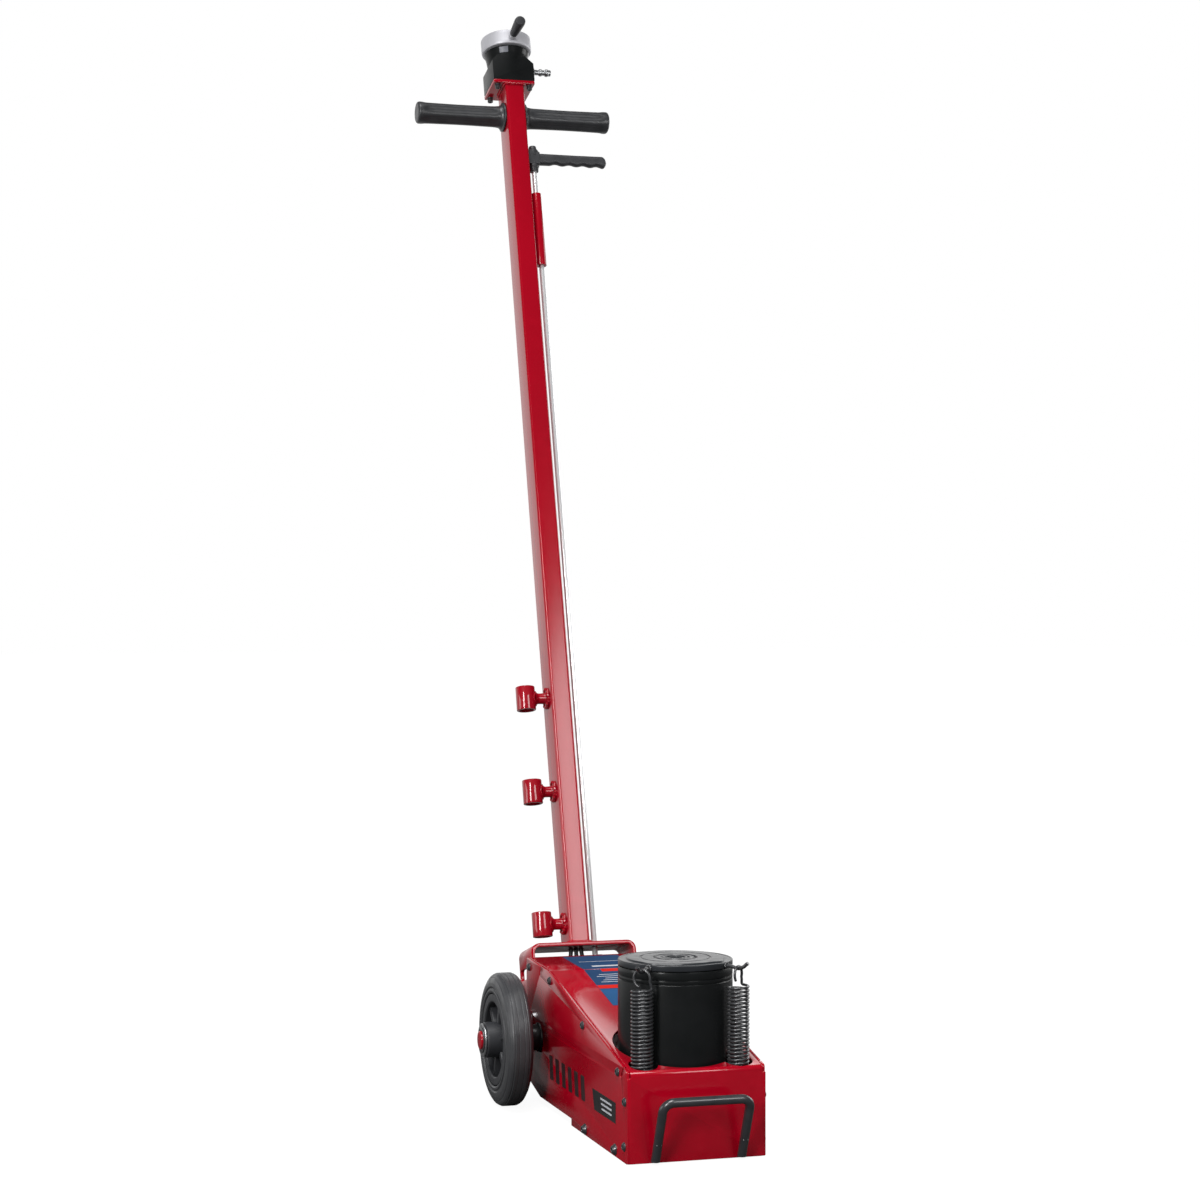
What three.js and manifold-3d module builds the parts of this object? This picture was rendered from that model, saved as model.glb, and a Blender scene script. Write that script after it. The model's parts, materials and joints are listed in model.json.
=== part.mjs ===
// An air-hydraulic trolley jack: a low welded chassis with an upright ram, two wheels, and a long
// folding mast that carries a T-bar, a lock lever and an air control head. Millimetres, +Z up.
// The origin is on the ground under the ram's axis, and the chassis's front faces -Y.

import * as THREE from 'three';
import { mergeVertices } from 'three/addons/utils/BufferGeometryUtils.js';
import Module from 'manifold-3d';

const wasm = await Module();
wasm.setup();

// ---------- driving dimensions ----------
const GAP = 0.3; // air between pieces that touch on the real jack

// Sides of the round pieces: neighbours that fit together share a number.
const LARGE = 30;
const MEDIUM = 18;
const SMALL = 12;

const CHASSIS_HALF = 90;
const SIDE_T = 4;
const SHEET_T = 3;
const INSIDE_HALF = CHASSIS_HALF - SIDE_T - GAP;
const FRONT_Y = -85;
const REAR_Y = 386;
const FRONT_Z = 112.5;
const SLOPE_END = { y: 273, z: 187 };
const REAR_Z = 190;
const FRONT_FOLD_R = 6.5;
const FRONT_LIP_Z = 105;
const SIDE_FRONT_Y = FRONT_Y + SHEET_T + GAP;
const BASE_T = 16;
const BASE_END_Y = 161;
const FLANGE_D = 20;

const BARREL_R = 72.5;
const BARREL_WALL = 5;
const FOOT_TOP_Z = 46;
const HEAD_BOTTOM_Z = 214;
const HEAD_TOP_Z = 229.5;
const WIPER_Z = 223;
const BORE_R = 49.3;
const RAM_R = 47;
const RAM_BOTTOM_Z = 60;
const LID_BOTTOM_Z = 230.3;
const LID_RIM_Z = 238;
const LID_TOP_Z = 239.5;
const SOCKET_R = 12.5;
const SOCKET_DEPTH = 8;

// from straight ahead, seen from above
const SPRING_ANGLE = { left: THREE.MathUtils.degToRad(45.5), right: THREE.MathUtils.degToRad(42) };
const SPRING_RING_R = 90;
const SPRING_R = 14.3;
const SPRING_WIRE = 3;
const SPRING_BOTTOM_Z = 50.8;
const SPRING_TOP_Z = 228.5;
const HOOK_R = 2.5;

const COVER_HOLE_R = 79.5;
const COVER_LOBE = { r: 18.5, left: [-62.5, -62.5], right: [61, -63.5] };

const HANDLE_R = 5.8;
const HANDLE_HALF = 56;
const HANDLE_LEAN = THREE.MathUtils.degToRad(23.5);
const HANDLE_LENGTH = 85;
const HANDLE_BEND = 13;

const AXLE = { y: 319, z: 90, r: 12.5, end: 174.9 };
const WHEEL_X = 137.4;
const WHEEL_R = 90;
const TYRE_HALF = 19;
const RIM_R = 62.2;
const RIM_HALF = 17.8;
const WINDOW_R = 51;
const HUB_R = 24;
const HUB_HALF = 31;
const BUSH_R = 16;
const RIB_COUNT = 6;

const PIVOT = { y: 365, z: 105, r: 10 };
const MAST_LEAN = THREE.MathUtils.degToRad(15.7);
// Everything on the mast is placed from the pivot: v along the mast, u behind the pivot.
const BRACKET = { half: 77.2, t: 5, front: 16, rear: 86, top: 109.7, bend: 12.7, boss: 22 };
const MAST = { width: 30, depth: 50, wall: 3, u: 56.4, bottom: 110, top: 1454.4 };
const CROSSBAR = { v: 1406.7, r: 13, wall: 3, half: 150 };
const GRIP = { r: 17, collar: 22.5, start: 15.6, end: 154 };
const HEAD_PLATE = { half: 33, front: 31.4, rear: 96, bottom: 1454.7, t: 5 };
const VALVE = { front: 32, rear: 94, bottom: 1460, top: 1502, u: 65, waist: 33, neck: 35, neckTop: 1519.1 };
const CONTROL = { r: 38, bottom: 1519.5, top: 1542, knob: 49 };
const INLET = { u: 48, v: 1483, start: 33.3, end: 64 };
const ROD = { x: 25.5, u: 48.4, r: 4, bottom: 85.3, top: 1330 };
const GUIDE = { r: 8, bottom: 1155, top: 1274.6 };
const LEVER = { v: 1334, half: 8.5, end: 143, thick: 13 };
const SLEEVE = { x: -47.5, r: 14.2, bore: 10.8, length: 35, stub: 8, at: [141.3, 334.2, 473.2] };
const QUADRANT_R = 94.5;

const MOTOR = { z: 62, r: 38, wall: 4, start: 150.3, end: 262 };
const HOSE_R = 3;

// ---------- materials ----------
const finish = (color, roughness, metalness) =>
  new THREE.MeshStandardMaterial({ color, roughness, metalness });
const redPaint = finish(0xa3071f, 0.35, 0.1);
const blackPaint = finish(0x24262a, 0.45, 0.2);
const greyPaint = finish(0x5d6068, 0.4, 0.3);
const blackSteel = finish(0x2b2c2e, 0.4, 0.7);
const brightSteel = finish(0xb8bbbe, 0.3, 0.9);
const chrome = finish(0xd6d8da, 0.12, 1);
const aluminium = finish(0xc2c5c9, 0.3, 0.9);
const castIron = finish(0x4a4c4e, 0.7, 0.4);
const rubber = finish(0x2e2f31, 0.8, 0);
const plastic = finish(0x303236, 0.55, 0);
const seal = finish(0x1c1c1d, 0.6, 0);

// ---------- helpers ----------
const v2 = (x, y) => new THREE.Vector2(x, y);
const v3 = (x, y, z) => new THREE.Vector3(x, y, z);

const root = new THREE.Group();
const mast = new THREE.Group();
mast.position.set(0, PIVOT.y, PIVOT.z);
mast.rotation.x = -MAST_LEAN;
root.add(mast);

function place(group, name, geometry, material) {
  const mesh = new THREE.Mesh(geometry, material);
  mesh.name = name;
  group.add(mesh);
  return mesh;
}

// A solid of revolution. The profile holds [radius, height] pairs, outside going up.
function turned(profile, axis = 'z', segments = MEDIUM) {
  const points = profile.map(([r, h]) => v2(r, h));
  const geometry = new THREE.LatheGeometry(points, segments);
  if (axis === 'z') geometry.rotateX(Math.PI / 2);
  if (axis === 'x') geometry.rotateZ(-Math.PI / 2);
  return geometry;
}

const closed = (profile) => [...profile, profile[0]];

function tube(inner, outer, from, to, axis = 'z', segments = MEDIUM) {
  return turned(closed([[inner, from], [outer, from], [outer, to], [inner, to]]), axis, segments);
}

function shaft(radius, from, to, axis = 'z', segments = MEDIUM) {
  return turned([[0, from], [radius, from], [radius, to], [0, to]], axis, segments);
}

function box(x0, x1, y0, y1, z0, z1) {
  const geometry = new THREE.BoxGeometry(x1 - x0, y1 - y0, z1 - z0);
  return geometry.translate((x0 + x1) / 2, (y0 + y1) / 2, (z0 + z1) / 2);
}

function extruded(shape, depth, curveSegments = 6) {
  return new THREE.ExtrudeGeometry(shape, { depth, bevelEnabled: false, curveSegments });
}

// An outline in (y, z), extruded along +X from x0 to x1.
function alongX(shape, x0, x1, curveSegments) {
  const basis = new THREE.Matrix4().makeBasis(v3(0, 1, 0), v3(0, 0, 1), v3(1, 0, 0));
  return extruded(shape, x1 - x0, curveSegments).applyMatrix4(basis).translate(x0, 0, 0);
}

// An outline in (x, z), extruded along Y from y0 to y1.
function alongY(shape, y0, y1, curveSegments) {
  const basis = new THREE.Matrix4().makeBasis(v3(1, 0, 0), v3(0, 0, 1), v3(0, -1, 0));
  return extruded(shape, y1 - y0, curveSegments).applyMatrix4(basis).translate(0, y1, 0);
}

// An outline in (x, y), extruded up from z0 to z1.
function alongZ(shape, z0, z1, curveSegments) {
  return extruded(shape, z1 - z0, curveSegments).translate(0, 0, z0);
}

function polygon(points) {
  return new THREE.Shape(points.map(([a, b]) => v2(a, b)));
}

function roundedRect(a0, a1, b0, b1, r) {
  const shape = new THREE.Shape();
  shape.absarc(a1 - r, b1 - r, r, 0, Math.PI / 2);
  shape.absarc(a0 + r, b1 - r, r, Math.PI / 2, Math.PI);
  shape.absarc(a0 + r, b0 + r, r, Math.PI, 1.5 * Math.PI);
  shape.absarc(a1 - r, b0 + r, r, 1.5 * Math.PI, 2 * Math.PI);
  return shape;
}

function circleHole(a, b, r) {
  return new THREE.Path().absarc(a, b, r, 0, 2 * Math.PI, true);
}

function bentBar(path, radius, sides, steps) {
  const section = new THREE.Shape(
    Array.from({ length: sides }, (_, i) => {
      const turn = (i / sides) * 2 * Math.PI;
      return v2(radius * Math.cos(turn), radius * Math.sin(turn));
    }),
  );
  return new THREE.ExtrudeGeometry(section, { steps, extrudePath: path, bevelEnabled: false });
}

function smoothPath(points) {
  return new THREE.CatmullRomCurve3(points.map((p) => v3(...p)), false, 'centripetal');
}

function solid(geometry) {
  const plain = geometry.clone();
  plain.deleteAttribute('normal');
  plain.deleteAttribute('uv');
  const merged = mergeVertices(plain, 1e-4);
  return new wasm.Manifold(
    new wasm.Mesh({
      numProp: 3,
      vertProperties: new Float32Array(merged.attributes.position.array),
      triVerts: new Uint32Array(merged.index.array),
    }),
  );
}

function geometryOf(manifold) {
  const mesh = manifold.getMesh();
  const geometry = new THREE.BufferGeometry();
  geometry.setAttribute('position', new THREE.BufferAttribute(mesh.vertProperties, 3));
  geometry.setIndex(new THREE.BufferAttribute(mesh.triVerts, 1));
  geometry.computeVertexNormals();
  return geometry;
}

const join = (...parts) => geometryOf(parts.map(solid).reduce((all, part) => all.add(part)));
const cut = (body, ...tools) =>
  geometryOf(tools.map(solid).reduce((left, tool) => left.subtract(tool), solid(body)));
const common = (a, b) => geometryOf(solid(a).intersect(solid(b)));

// ---------- chassis ----------
const SLOPE = (SLOPE_END.z - FRONT_Z) / (SLOPE_END.y - FRONT_Y);
const slopeZ = (y) => FRONT_Z + SLOPE * (y - FRONT_Y);

function sideOutline() {
  const shape = new THREE.Shape();
  shape.moveTo(SIDE_FRONT_Y, 0);
  shape.lineTo(BASE_END_Y, 0);
  shape.lineTo(BASE_END_Y, 9);
  shape.lineTo(315, 9);
  shape.lineTo(365, 21);
  shape.lineTo(REAR_Y - 6, 26);
  shape.quadraticCurveTo(REAR_Y, 28, REAR_Y, 36);
  shape.lineTo(REAR_Y, REAR_Z - 5);
  shape.quadraticCurveTo(REAR_Y, REAR_Z, REAR_Y - 5, REAR_Z);
  // rear relief slit, nearly straight down
  shape.lineTo(316, REAR_Z - 1.9);
  shape.lineTo(318, 174);
  shape.lineTo(315, 174);
  shape.lineTo(313, REAR_Z - 1.9);
  shape.lineTo(SLOPE_END.y, SLOPE_END.z);
  // front relief slit, slanting back
  shape.lineTo(-66.5, slopeZ(-66.5));
  shape.lineTo(-56.5, 103.8);
  shape.lineTo(-59, 102);
  shape.lineTo(-69.5, slopeZ(-69.5));
  shape.lineTo(SIDE_FRONT_Y + 4, slopeZ(SIDE_FRONT_Y + 4));
  shape.quadraticCurveTo(SIDE_FRONT_Y, slopeZ(SIDE_FRONT_Y), SIDE_FRONT_Y, FRONT_Z - 4);
  shape.closePath();
  shape.holes.push(circleHole(AXLE.y, AXLE.z, AXLE.r + GAP));
  shape.holes.push(circleHole(PIVOT.y, PIVOT.z, PIVOT.r + GAP));
  return shape;
}

function sidePlates() {
  for (const [side, x0] of [['left', -CHASSIS_HALF], ['right', CHASSIS_HALF - SIDE_T]]) {
    place(root, `side_plate_${side}`, alongX(sideOutline(), x0, x0 + SIDE_T, 8), redPaint);
  }
}

function basePlate() {
  const outline = roundedRect(-INSIDE_HALF, INSIDE_HALF, FRONT_Y + SHEET_T + GAP, BASE_END_Y, 4);
  place(root, 'base_plate', alongZ(outline, 0, BASE_T, 3), redPaint);
}

// One folded sheet: front wall, slope and flat rear, with a screw flange along each side. The front
// wall laps over the side plates.
function topCover() {
  const inner = FRONT_Y + SHEET_T;
  const shape = new THREE.Shape();
  shape.moveTo(FRONT_Y, 0.5);
  shape.lineTo(FRONT_Y, FRONT_Z - FRONT_FOLD_R);
  shape.quadraticCurveTo(FRONT_Y, FRONT_Z, FRONT_Y + FRONT_FOLD_R, slopeZ(FRONT_Y + FRONT_FOLD_R));
  shape.lineTo(SLOPE_END.y, SLOPE_END.z);
  shape.lineTo(REAR_Y, REAR_Z);
  shape.lineTo(REAR_Y, REAR_Z - SHEET_T);
  shape.lineTo(SLOPE_END.y, SLOPE_END.z - SHEET_T);
  shape.lineTo(inner + 3, slopeZ(inner + 3) - SHEET_T);
  shape.quadraticCurveTo(inner, slopeZ(inner) - SHEET_T, inner, slopeZ(inner) - SHEET_T - 3);
  shape.lineTo(inner, 0.5);
  const sheet = alongX(shape, -INSIDE_HALF, INSIDE_HALF, 4);
  const sideFlange = polygon([
    [inner - 1, BASE_T + 6],
    [inner - 1, FRONT_Z - 8],
    [SLOPE_END.y, SLOPE_END.z - 2],
    [REAR_Y - 4, REAR_Z - 2],
    [REAR_Y - 4, REAR_Z - FLANGE_D],
    [SLOPE_END.y, SLOPE_END.z - FLANGE_D],
    [inner + FLANGE_D, slopeZ(inner) - FLANGE_D],
    [inner + FLANGE_D, BASE_T + 6],
  ]);
  const left = alongX(sideFlange, -INSIDE_HALF, -INSIDE_HALF + SHEET_T);
  const right = alongX(sideFlange, INSIDE_HALF - SHEET_T, INSIDE_HALF);
  const lap = box(-CHASSIS_HALF, CHASSIS_HALF, FRONT_Y, inner, 0.5, FRONT_LIP_Z);
  const hole = shaft(COVER_HOLE_R, 60, 190, 'z', LARGE);
  const lobes = [COVER_LOBE.left, COVER_LOBE.right].map(([x, y]) =>
    shaft(COVER_LOBE.r, 60, 190, 'z', MEDIUM).translate(x, y, 0),
  );
  place(root, 'top_cover', cut(join(sheet, left, right, lap), hole, ...lobes), redPaint);
}

function rearCrossMember() {
  const plate = box(-INSIDE_HALF, INSIDE_HALF, 328, 378, 27, 31);
  place(root, 'rear_cross_member', plate, redPaint);
}

// A round bar bent into a U and leaning out from the foot of the front wall.
function frontHandle() {
  const foot = v3(0, FRONT_Y - HANDLE_R - GAP, 3);
  const up = v3(0, -Math.sin(HANDLE_LEAN), Math.cos(HANDLE_LEAN));
  const at = (x, along) => foot.clone().addScaledVector(up, along).setX(x);
  const path = new THREE.CurvePath();
  const corner = HANDLE_LENGTH - HANDLE_BEND;
  const inner = HANDLE_HALF - HANDLE_BEND;
  path.add(new THREE.LineCurve3(at(-HANDLE_HALF, 0), at(-HANDLE_HALF, corner)));
  path.add(
    new THREE.QuadraticBezierCurve3(
      at(-HANDLE_HALF, corner), at(-HANDLE_HALF, HANDLE_LENGTH), at(-inner, HANDLE_LENGTH)),
  );
  path.add(new THREE.LineCurve3(at(-inner, HANDLE_LENGTH), at(inner, HANDLE_LENGTH)));
  path.add(
    new THREE.QuadraticBezierCurve3(
      at(inner, HANDLE_LENGTH), at(HANDLE_HALF, HANDLE_LENGTH), at(HANDLE_HALF, corner)),
  );
  path.add(new THREE.LineCurve3(at(HANDLE_HALF, corner), at(HANDLE_HALF, 0)));
  place(root, 'front_handle', bentBar(path, HANDLE_R, 8, 26), blackPaint);
}

// ---------- hydraulic unit ----------
const PUMP_BORE_R = 8;
const BLOCK_REAR_Y = 150;

function hydraulicBase() {
  const foot = shaft(74, BASE_T + GAP, FOOT_TOP_Z, 'z', LARGE);
  const block = box(-38, 38, 50, BLOCK_REAR_Y, BASE_T + GAP, 72);
  const saddle = shaft(BARREL_R + GAP, FOOT_TOP_Z, 90, 'z', LARGE);
  const bore = shaft(PUMP_BORE_R, 80, BLOCK_REAR_Y + 1, 'y', SMALL).translate(0, 0, MOTOR.z);
  place(root, 'hydraulic_base', cut(join(foot, block), saddle, bore), castIron);
}

function barrel() {
  const bottom = FOOT_TOP_Z + GAP;
  const shell = tube(BARREL_R - BARREL_WALL, BARREL_R, bottom, HEAD_BOTTOM_Z, 'z', LARGE);
  place(root, 'reservoir_tube', shell, blackPaint);
  const pressure = tube(BORE_R, 59, bottom, HEAD_BOTTOM_Z, 'z', MEDIUM);
  place(root, 'pressure_cylinder', pressure, blackSteel);
  const wiperR = 52.6;
  const headBore = RAM_R + 2 * GAP;
  const head = closed([
    [headBore, HEAD_BOTTOM_Z + GAP],
    [BARREL_R, HEAD_BOTTOM_Z + GAP],
    [BARREL_R, HEAD_TOP_Z - 1],
    [BARREL_R - 1, HEAD_TOP_Z],
    [wiperR, HEAD_TOP_Z],
    [wiperR, WIPER_Z],
    [headBore, WIPER_Z],
  ]);
  place(root, 'cylinder_head', turned(head, 'z', LARGE), blackPaint);
  place(root, 'wiper_seal', tube(RAM_R + GAP, wiperR - GAP, WIPER_Z + GAP, HEAD_TOP_Z, 'z', MEDIUM), seal);
  const plug = new THREE.CylinderGeometry(8, 8, 9, 6).translate(0, BARREL_R + GAP + 5, 0);
  place(root, 'oil_filler_plug', plug.translate(0, 0, 130), brightSteel);
}

function ram() {
  const headR = BORE_R - GAP;
  const groove = 45;
  const profile = [
    [0, RAM_BOTTOM_Z],
    [headR, RAM_BOTTOM_Z],
    [headR, 67],
    [groove, 67],
    [groove, 77],
    [headR, 77],
    [headR, 84],
    [RAM_R, 84],
    [RAM_R, LID_BOTTOM_Z - GAP],
    [0, LID_BOTTOM_Z - GAP],
  ];
  place(root, 'ram_piston', turned(profile, 'z', MEDIUM), chrome);
  place(root, 'piston_seal', tube(groove + GAP, headR, 67.3, 76.7, 'z', MEDIUM), seal);
}

// The lid's raised face bulges out to each spring hook.
function lidFace() {
  const points = [];
  const count = 40;
  for (let i = 0; i < count; i += 1) {
    const turn = (i / count) * 2 * Math.PI;
    const right = Math.abs(turn - SPRING_ANGLE.right);
    const left = Math.abs(2 * Math.PI - turn - SPRING_ANGLE.left);
    const off = Math.min(left, right);
    const r = 62 + 8 * Math.exp(-((off / 0.17) ** 2));
    points.push([r * Math.sin(turn), -r * Math.cos(turn)]);
  }
  return polygon(points);
}

function saddleLid() {
  const rim = [
    [0, LID_BOTTOM_Z],
    [BARREL_R - 1.5, LID_BOTTOM_Z],
    [BARREL_R, LID_BOTTOM_Z + 1.5],
    [BARREL_R, LID_RIM_Z - 2.5],
    [BARREL_R - 0.7, LID_RIM_Z - 0.8],
    [BARREL_R - 2.5, LID_RIM_Z],
    [0, LID_RIM_Z],
  ];
  const face = alongZ(lidFace(), LID_RIM_Z - 1, LID_TOP_Z);
  const socket = shaft(SOCKET_R, LID_TOP_Z - SOCKET_DEPTH, LID_TOP_Z + 1, 'z', MEDIUM);
  place(root, 'saddle_lid', cut(join(turned(rim, 'z', LARGE), face), socket), greyPaint);
}

// ---------- return springs, their hooks on the lid and their eyes on the base ----------
function returnSprings() {
  for (const [side, sign] of [['left', -1], ['right', 1]]) {
    const angle = SPRING_ANGLE[side];
    const out = v3(sign * Math.sin(angle), -Math.cos(angle), 0);
    const at = (r, z) => out.clone().multiplyScalar(r).setZ(z);
    const centre = at(SPRING_RING_R, 0);
    const hookLine = [[72.9, 234.3], [80, 233.6], [90, 231.5], [98, 234.5], [104, 239]];
    const hook = smoothPath(hookLine.map(([r, z]) => at(r, z).toArray()));
    place(root, `spring_hook_${side}`, bentBar(hook, HOOK_R, 8, 8), blackSteel);

    const coil = tube(SPRING_R - SPRING_WIRE, SPRING_R, SPRING_BOTTOM_Z, SPRING_TOP_Z, 'z', MEDIUM);
    place(root, `return_spring_${side}`, coil.translate(centre.x, centre.y, 0), blackSteel);

    const post = shaft(4.5, BASE_T + GAP, 37, 'z', SMALL);
    const eye = new THREE.TorusGeometry(6.5, 2.5, 6, 12);
    eye.rotateX(Math.PI / 2).rotateZ(sign * angle).translate(0, 0, 41);
    const anchor = join(post, eye).translate(centre.x, centre.y, 0);
    place(root, `spring_anchor_${side}`, anchor, blackSteel);
  }
}

// ---------- air motor and valves behind the ram ----------
function airMotor() {
  const inner = MOTOR.r - MOTOR.wall;
  const body = tube(inner, MOTOR.r, MOTOR.start, MOTOR.end, 'y', MEDIUM).translate(0, 0, MOTOR.z);
  place(root, 'air_motor_cylinder', body, aluminium);
  const cap = turned(
    [
      [0, MOTOR.end + GAP],
      [MOTOR.r + 2, MOTOR.end + GAP],
      [MOTOR.r + 2, MOTOR.end + 9],
      [MOTOR.r - 1, MOTOR.end + 12],
      [0, MOTOR.end + 12],
    ], 'y', MEDIUM).translate(0, 0, MOTOR.z);
  place(root, 'air_motor_cap', cap, aluminium);
  const disc = inner - GAP - 0.2;
  const rod = PUMP_BORE_R - GAP;
  const piston = turned(
    [[0, 102], [rod, 102], [rod, 178], [disc, 178], [disc, 188], [0, 188]], 'y', MEDIUM);
  place(root, 'air_piston', piston.translate(0, 0, MOTOR.z), aluminium);
}

const RELEASE = { x: -24, y: 128 };

function releaseValve() {
  const body = tube(4, 12, 72 + GAP, 96, 'z', SMALL).translate(RELEASE.x, RELEASE.y, 0);
  place(root, 'release_valve', body, brightSteel);
  const pin = turned([[0, 80], [3.7, 80], [3.7, 101], [7, 101], [7, 106], [0, 106]], 'z', SMALL);
  place(root, 'release_pin', pin.translate(RELEASE.x, RELEASE.y, 0), brightSteel);
}

// ---------- wheels and axle ----------
function axle() {
  const collar = 18;
  const half = [
    [AXLE.r, CHASSIS_HALF + GAP],
    [collar, CHASSIS_HALF + GAP],
    [collar, WHEEL_X - HUB_HALF - 0.5],
    [AXLE.r, WHEEL_X - HUB_HALF - 0.5],
    [AXLE.r, AXLE.end - 1.5],
    [AXLE.r - 1.5, AXLE.end],
    [0, AXLE.end],
  ];
  const mirrored = half.map(([r, x]) => [r, -x]).reverse();
  const bar = turned([...mirrored, ...half], 'x', MEDIUM).translate(0, AXLE.y, AXLE.z);
  place(root, 'axle', bar, redPaint);
}

function tyreProfile() {
  const outerHalf = [
    [WHEEL_R, 9.5],
    [87, 14],
    [82, 17],
    [68, TYRE_HALF],
    [RIM_R + 2 * GAP, 17.8],
  ];
  const innerHalf = outerHalf.map(([r, x]) => [r, -x]).reverse();
  return closed([...innerHalf, ...outerHalf]);
}

function rimSolid() {
  const web = 5;
  const profile = closed([
    [BUSH_R + GAP, -HUB_HALF],
    [HUB_R, -HUB_HALF],
    [HUB_R, -web],
    [WINDOW_R, -web],
    [WINDOW_R, -RIM_HALF],
    [RIM_R, -RIM_HALF],
    [RIM_R, RIM_HALF],
    [WINDOW_R, RIM_HALF],
    [WINDOW_R, web],
    [HUB_R, web],
    [HUB_R, HUB_HALF],
    [BUSH_R + GAP, HUB_HALF],
  ]);
  const ribs = Array.from({ length: RIB_COUNT }, (_, i) =>
    box(-15, 15, -3, 3, HUB_R - 1.5, WINDOW_R + 2).rotateX((i / RIB_COUNT) * 2 * Math.PI),
  );
  return join(turned(profile, 'x', MEDIUM), ...ribs);
}

function wheels() {
  for (const [side, sign] of [['left', -1], ['right', 1]]) {
    const x = sign * WHEEL_X;
    const face = WHEEL_X + HUB_HALF + GAP;
    const put = (name, geometry, material) =>
      place(root, `${name}_${side}`, geometry.translate(0, AXLE.y, AXLE.z), material);
    put('tyre', turned(tyreProfile(), 'x', LARGE).translate(x, 0, 0), rubber);
    put('wheel_rim', rimSolid().translate(x, 0, 0), plastic);
    put('wheel_bush', tube(AXLE.r + GAP, BUSH_R, x - HUB_HALF, x + HUB_HALF, 'x'), brightSteel);
    const [from, to] = sign > 0 ? [face, face + 2.5] : [-face - 2.5, -face];
    put('axle_washer', tube(AXLE.r + GAP, 22.5, from, to, 'x'), brightSteel);
  }
}

// ---------- mast pivot and lock quadrant, on the chassis ----------
function pivotShaft() {
  const head = 14;
  const inside = CHASSIS_HALF + GAP;
  const outside = 96;
  const half = [[PIVOT.r, inside], [head, inside], [head, outside], [0, outside]];
  const mirrored = half.map(([r, x]) => [r, -x]).reverse();
  const pin = turned([...mirrored, ...half], 'x', MEDIUM).translate(0, PIVOT.y, PIVOT.z);
  place(root, 'mast_pivot_shaft', pin, brightSteel);
}

// A notched sector around the pivot. The lock rod's tip stands just outside its rim.
function lockQuadrant() {
  const polar = (r, degrees) => {
    const turn = THREE.MathUtils.degToRad(degrees);
    return [r * Math.sin(turn), r * Math.cos(turn)];
  };
  const shape = new THREE.Shape();
  shape.moveTo(-24, -73.7);
  shape.lineTo(10, -73.7);
  shape.lineTo(22, -16);
  shape.lineTo(...polar(QUADRANT_R, 88));
  for (const notch of [80, 63, 45.3]) {
    const half = 2.8;
    shape.lineTo(...polar(QUADRANT_R, notch + half));
    shape.lineTo(...polar(QUADRANT_R - 8, notch + half));
    shape.lineTo(...polar(QUADRANT_R - 8, notch - half));
    shape.lineTo(...polar(QUADRANT_R, notch - half));
    shape.lineTo(...polar(QUADRANT_R, notch - 7.5));
  }
  shape.lineTo(...polar(QUADRANT_R, 30));
  shape.lineTo(-8, 19);
  shape.lineTo(-20, 8);
  shape.closePath();
  shape.holes.push(circleHole(0, 0, PIVOT.r + GAP));
  const plate = alongX(shape, ROD.x - 3, ROD.x + 3, 12).translate(0, PIVOT.y, PIVOT.z);
  place(root, 'lock_quadrant', plate, brightSteel);
}

// ---------- mast ----------
function mastBracket() {
  const { half, t, top, bend, front, rear, boss } = BRACKET;
  const low = -30;
  const channel = new THREE.Shape();
  channel.moveTo(-half, low);
  channel.lineTo(-half, top - bend);
  channel.absarc(-half + bend, top - bend, bend, Math.PI, Math.PI / 2, true);
  channel.absarc(half - bend, top - bend, bend, Math.PI / 2, 0, true);
  channel.lineTo(half, low);
  channel.lineTo(half - t, low);
  channel.absarc(half - bend, top - bend, bend - t, 0, Math.PI / 2, false);
  channel.absarc(-half + bend, top - bend, bend - t, Math.PI / 2, Math.PI, false);
  channel.lineTo(-half + t, low);
  const side = new THREE.Shape();
  side.moveTo(front, top + 5);
  side.lineTo(rear, top + 5);
  side.lineTo(rear, 48);
  side.absarc(0, 0, boss, -0.27 * Math.PI, -1.24 * Math.PI, true);
  side.lineTo(front, 60);
  side.closePath();
  const blank = common(alongY(channel, front - 60, rear + 5, 4), alongX(side, -half - 1, half + 1, 6));
  const slot = alongX(roundedRect(46, 81, 64, 80, 5), -half - 1, half + 1, 2);
  const pivotHole = shaft(PIVOT.r + 0.4, -half - 1, half + 1, 'x', MEDIUM);
  const hoseHole = alongZ(roundedRect(-11.9, 11.9, 50.5, 62.3, 4), top - t - 1, top + 1, 3);
  const rodHole = shaft(ROD.r + 1.2, top - t - 1, top + 1, 'z', SMALL).translate(ROD.x, ROD.u, 0);
  place(mast, 'mast_bracket', cut(blank, slot, pivotHole, hoseHole, rodHole), redPaint);
}

function mastTube() {
  const { width, depth, wall, u, bottom, top } = MAST;
  const section = (inset, r) =>
    roundedRect(-width / 2 + inset, width / 2 - inset, u - depth / 2 + inset, u + depth / 2 - inset, r);
  const outline = section(0, 4);
  outline.holes.push(new THREE.Path(section(wall, 1.5).getPoints(3)));
  const across = shaft(CROSSBAR.r + GAP, -width, width, 'x', MEDIUM).translate(0, u, CROSSBAR.v);
  place(mast, 'mast_tube', cut(alongZ(outline, bottom, top, 3), across), redPaint);
}

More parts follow.
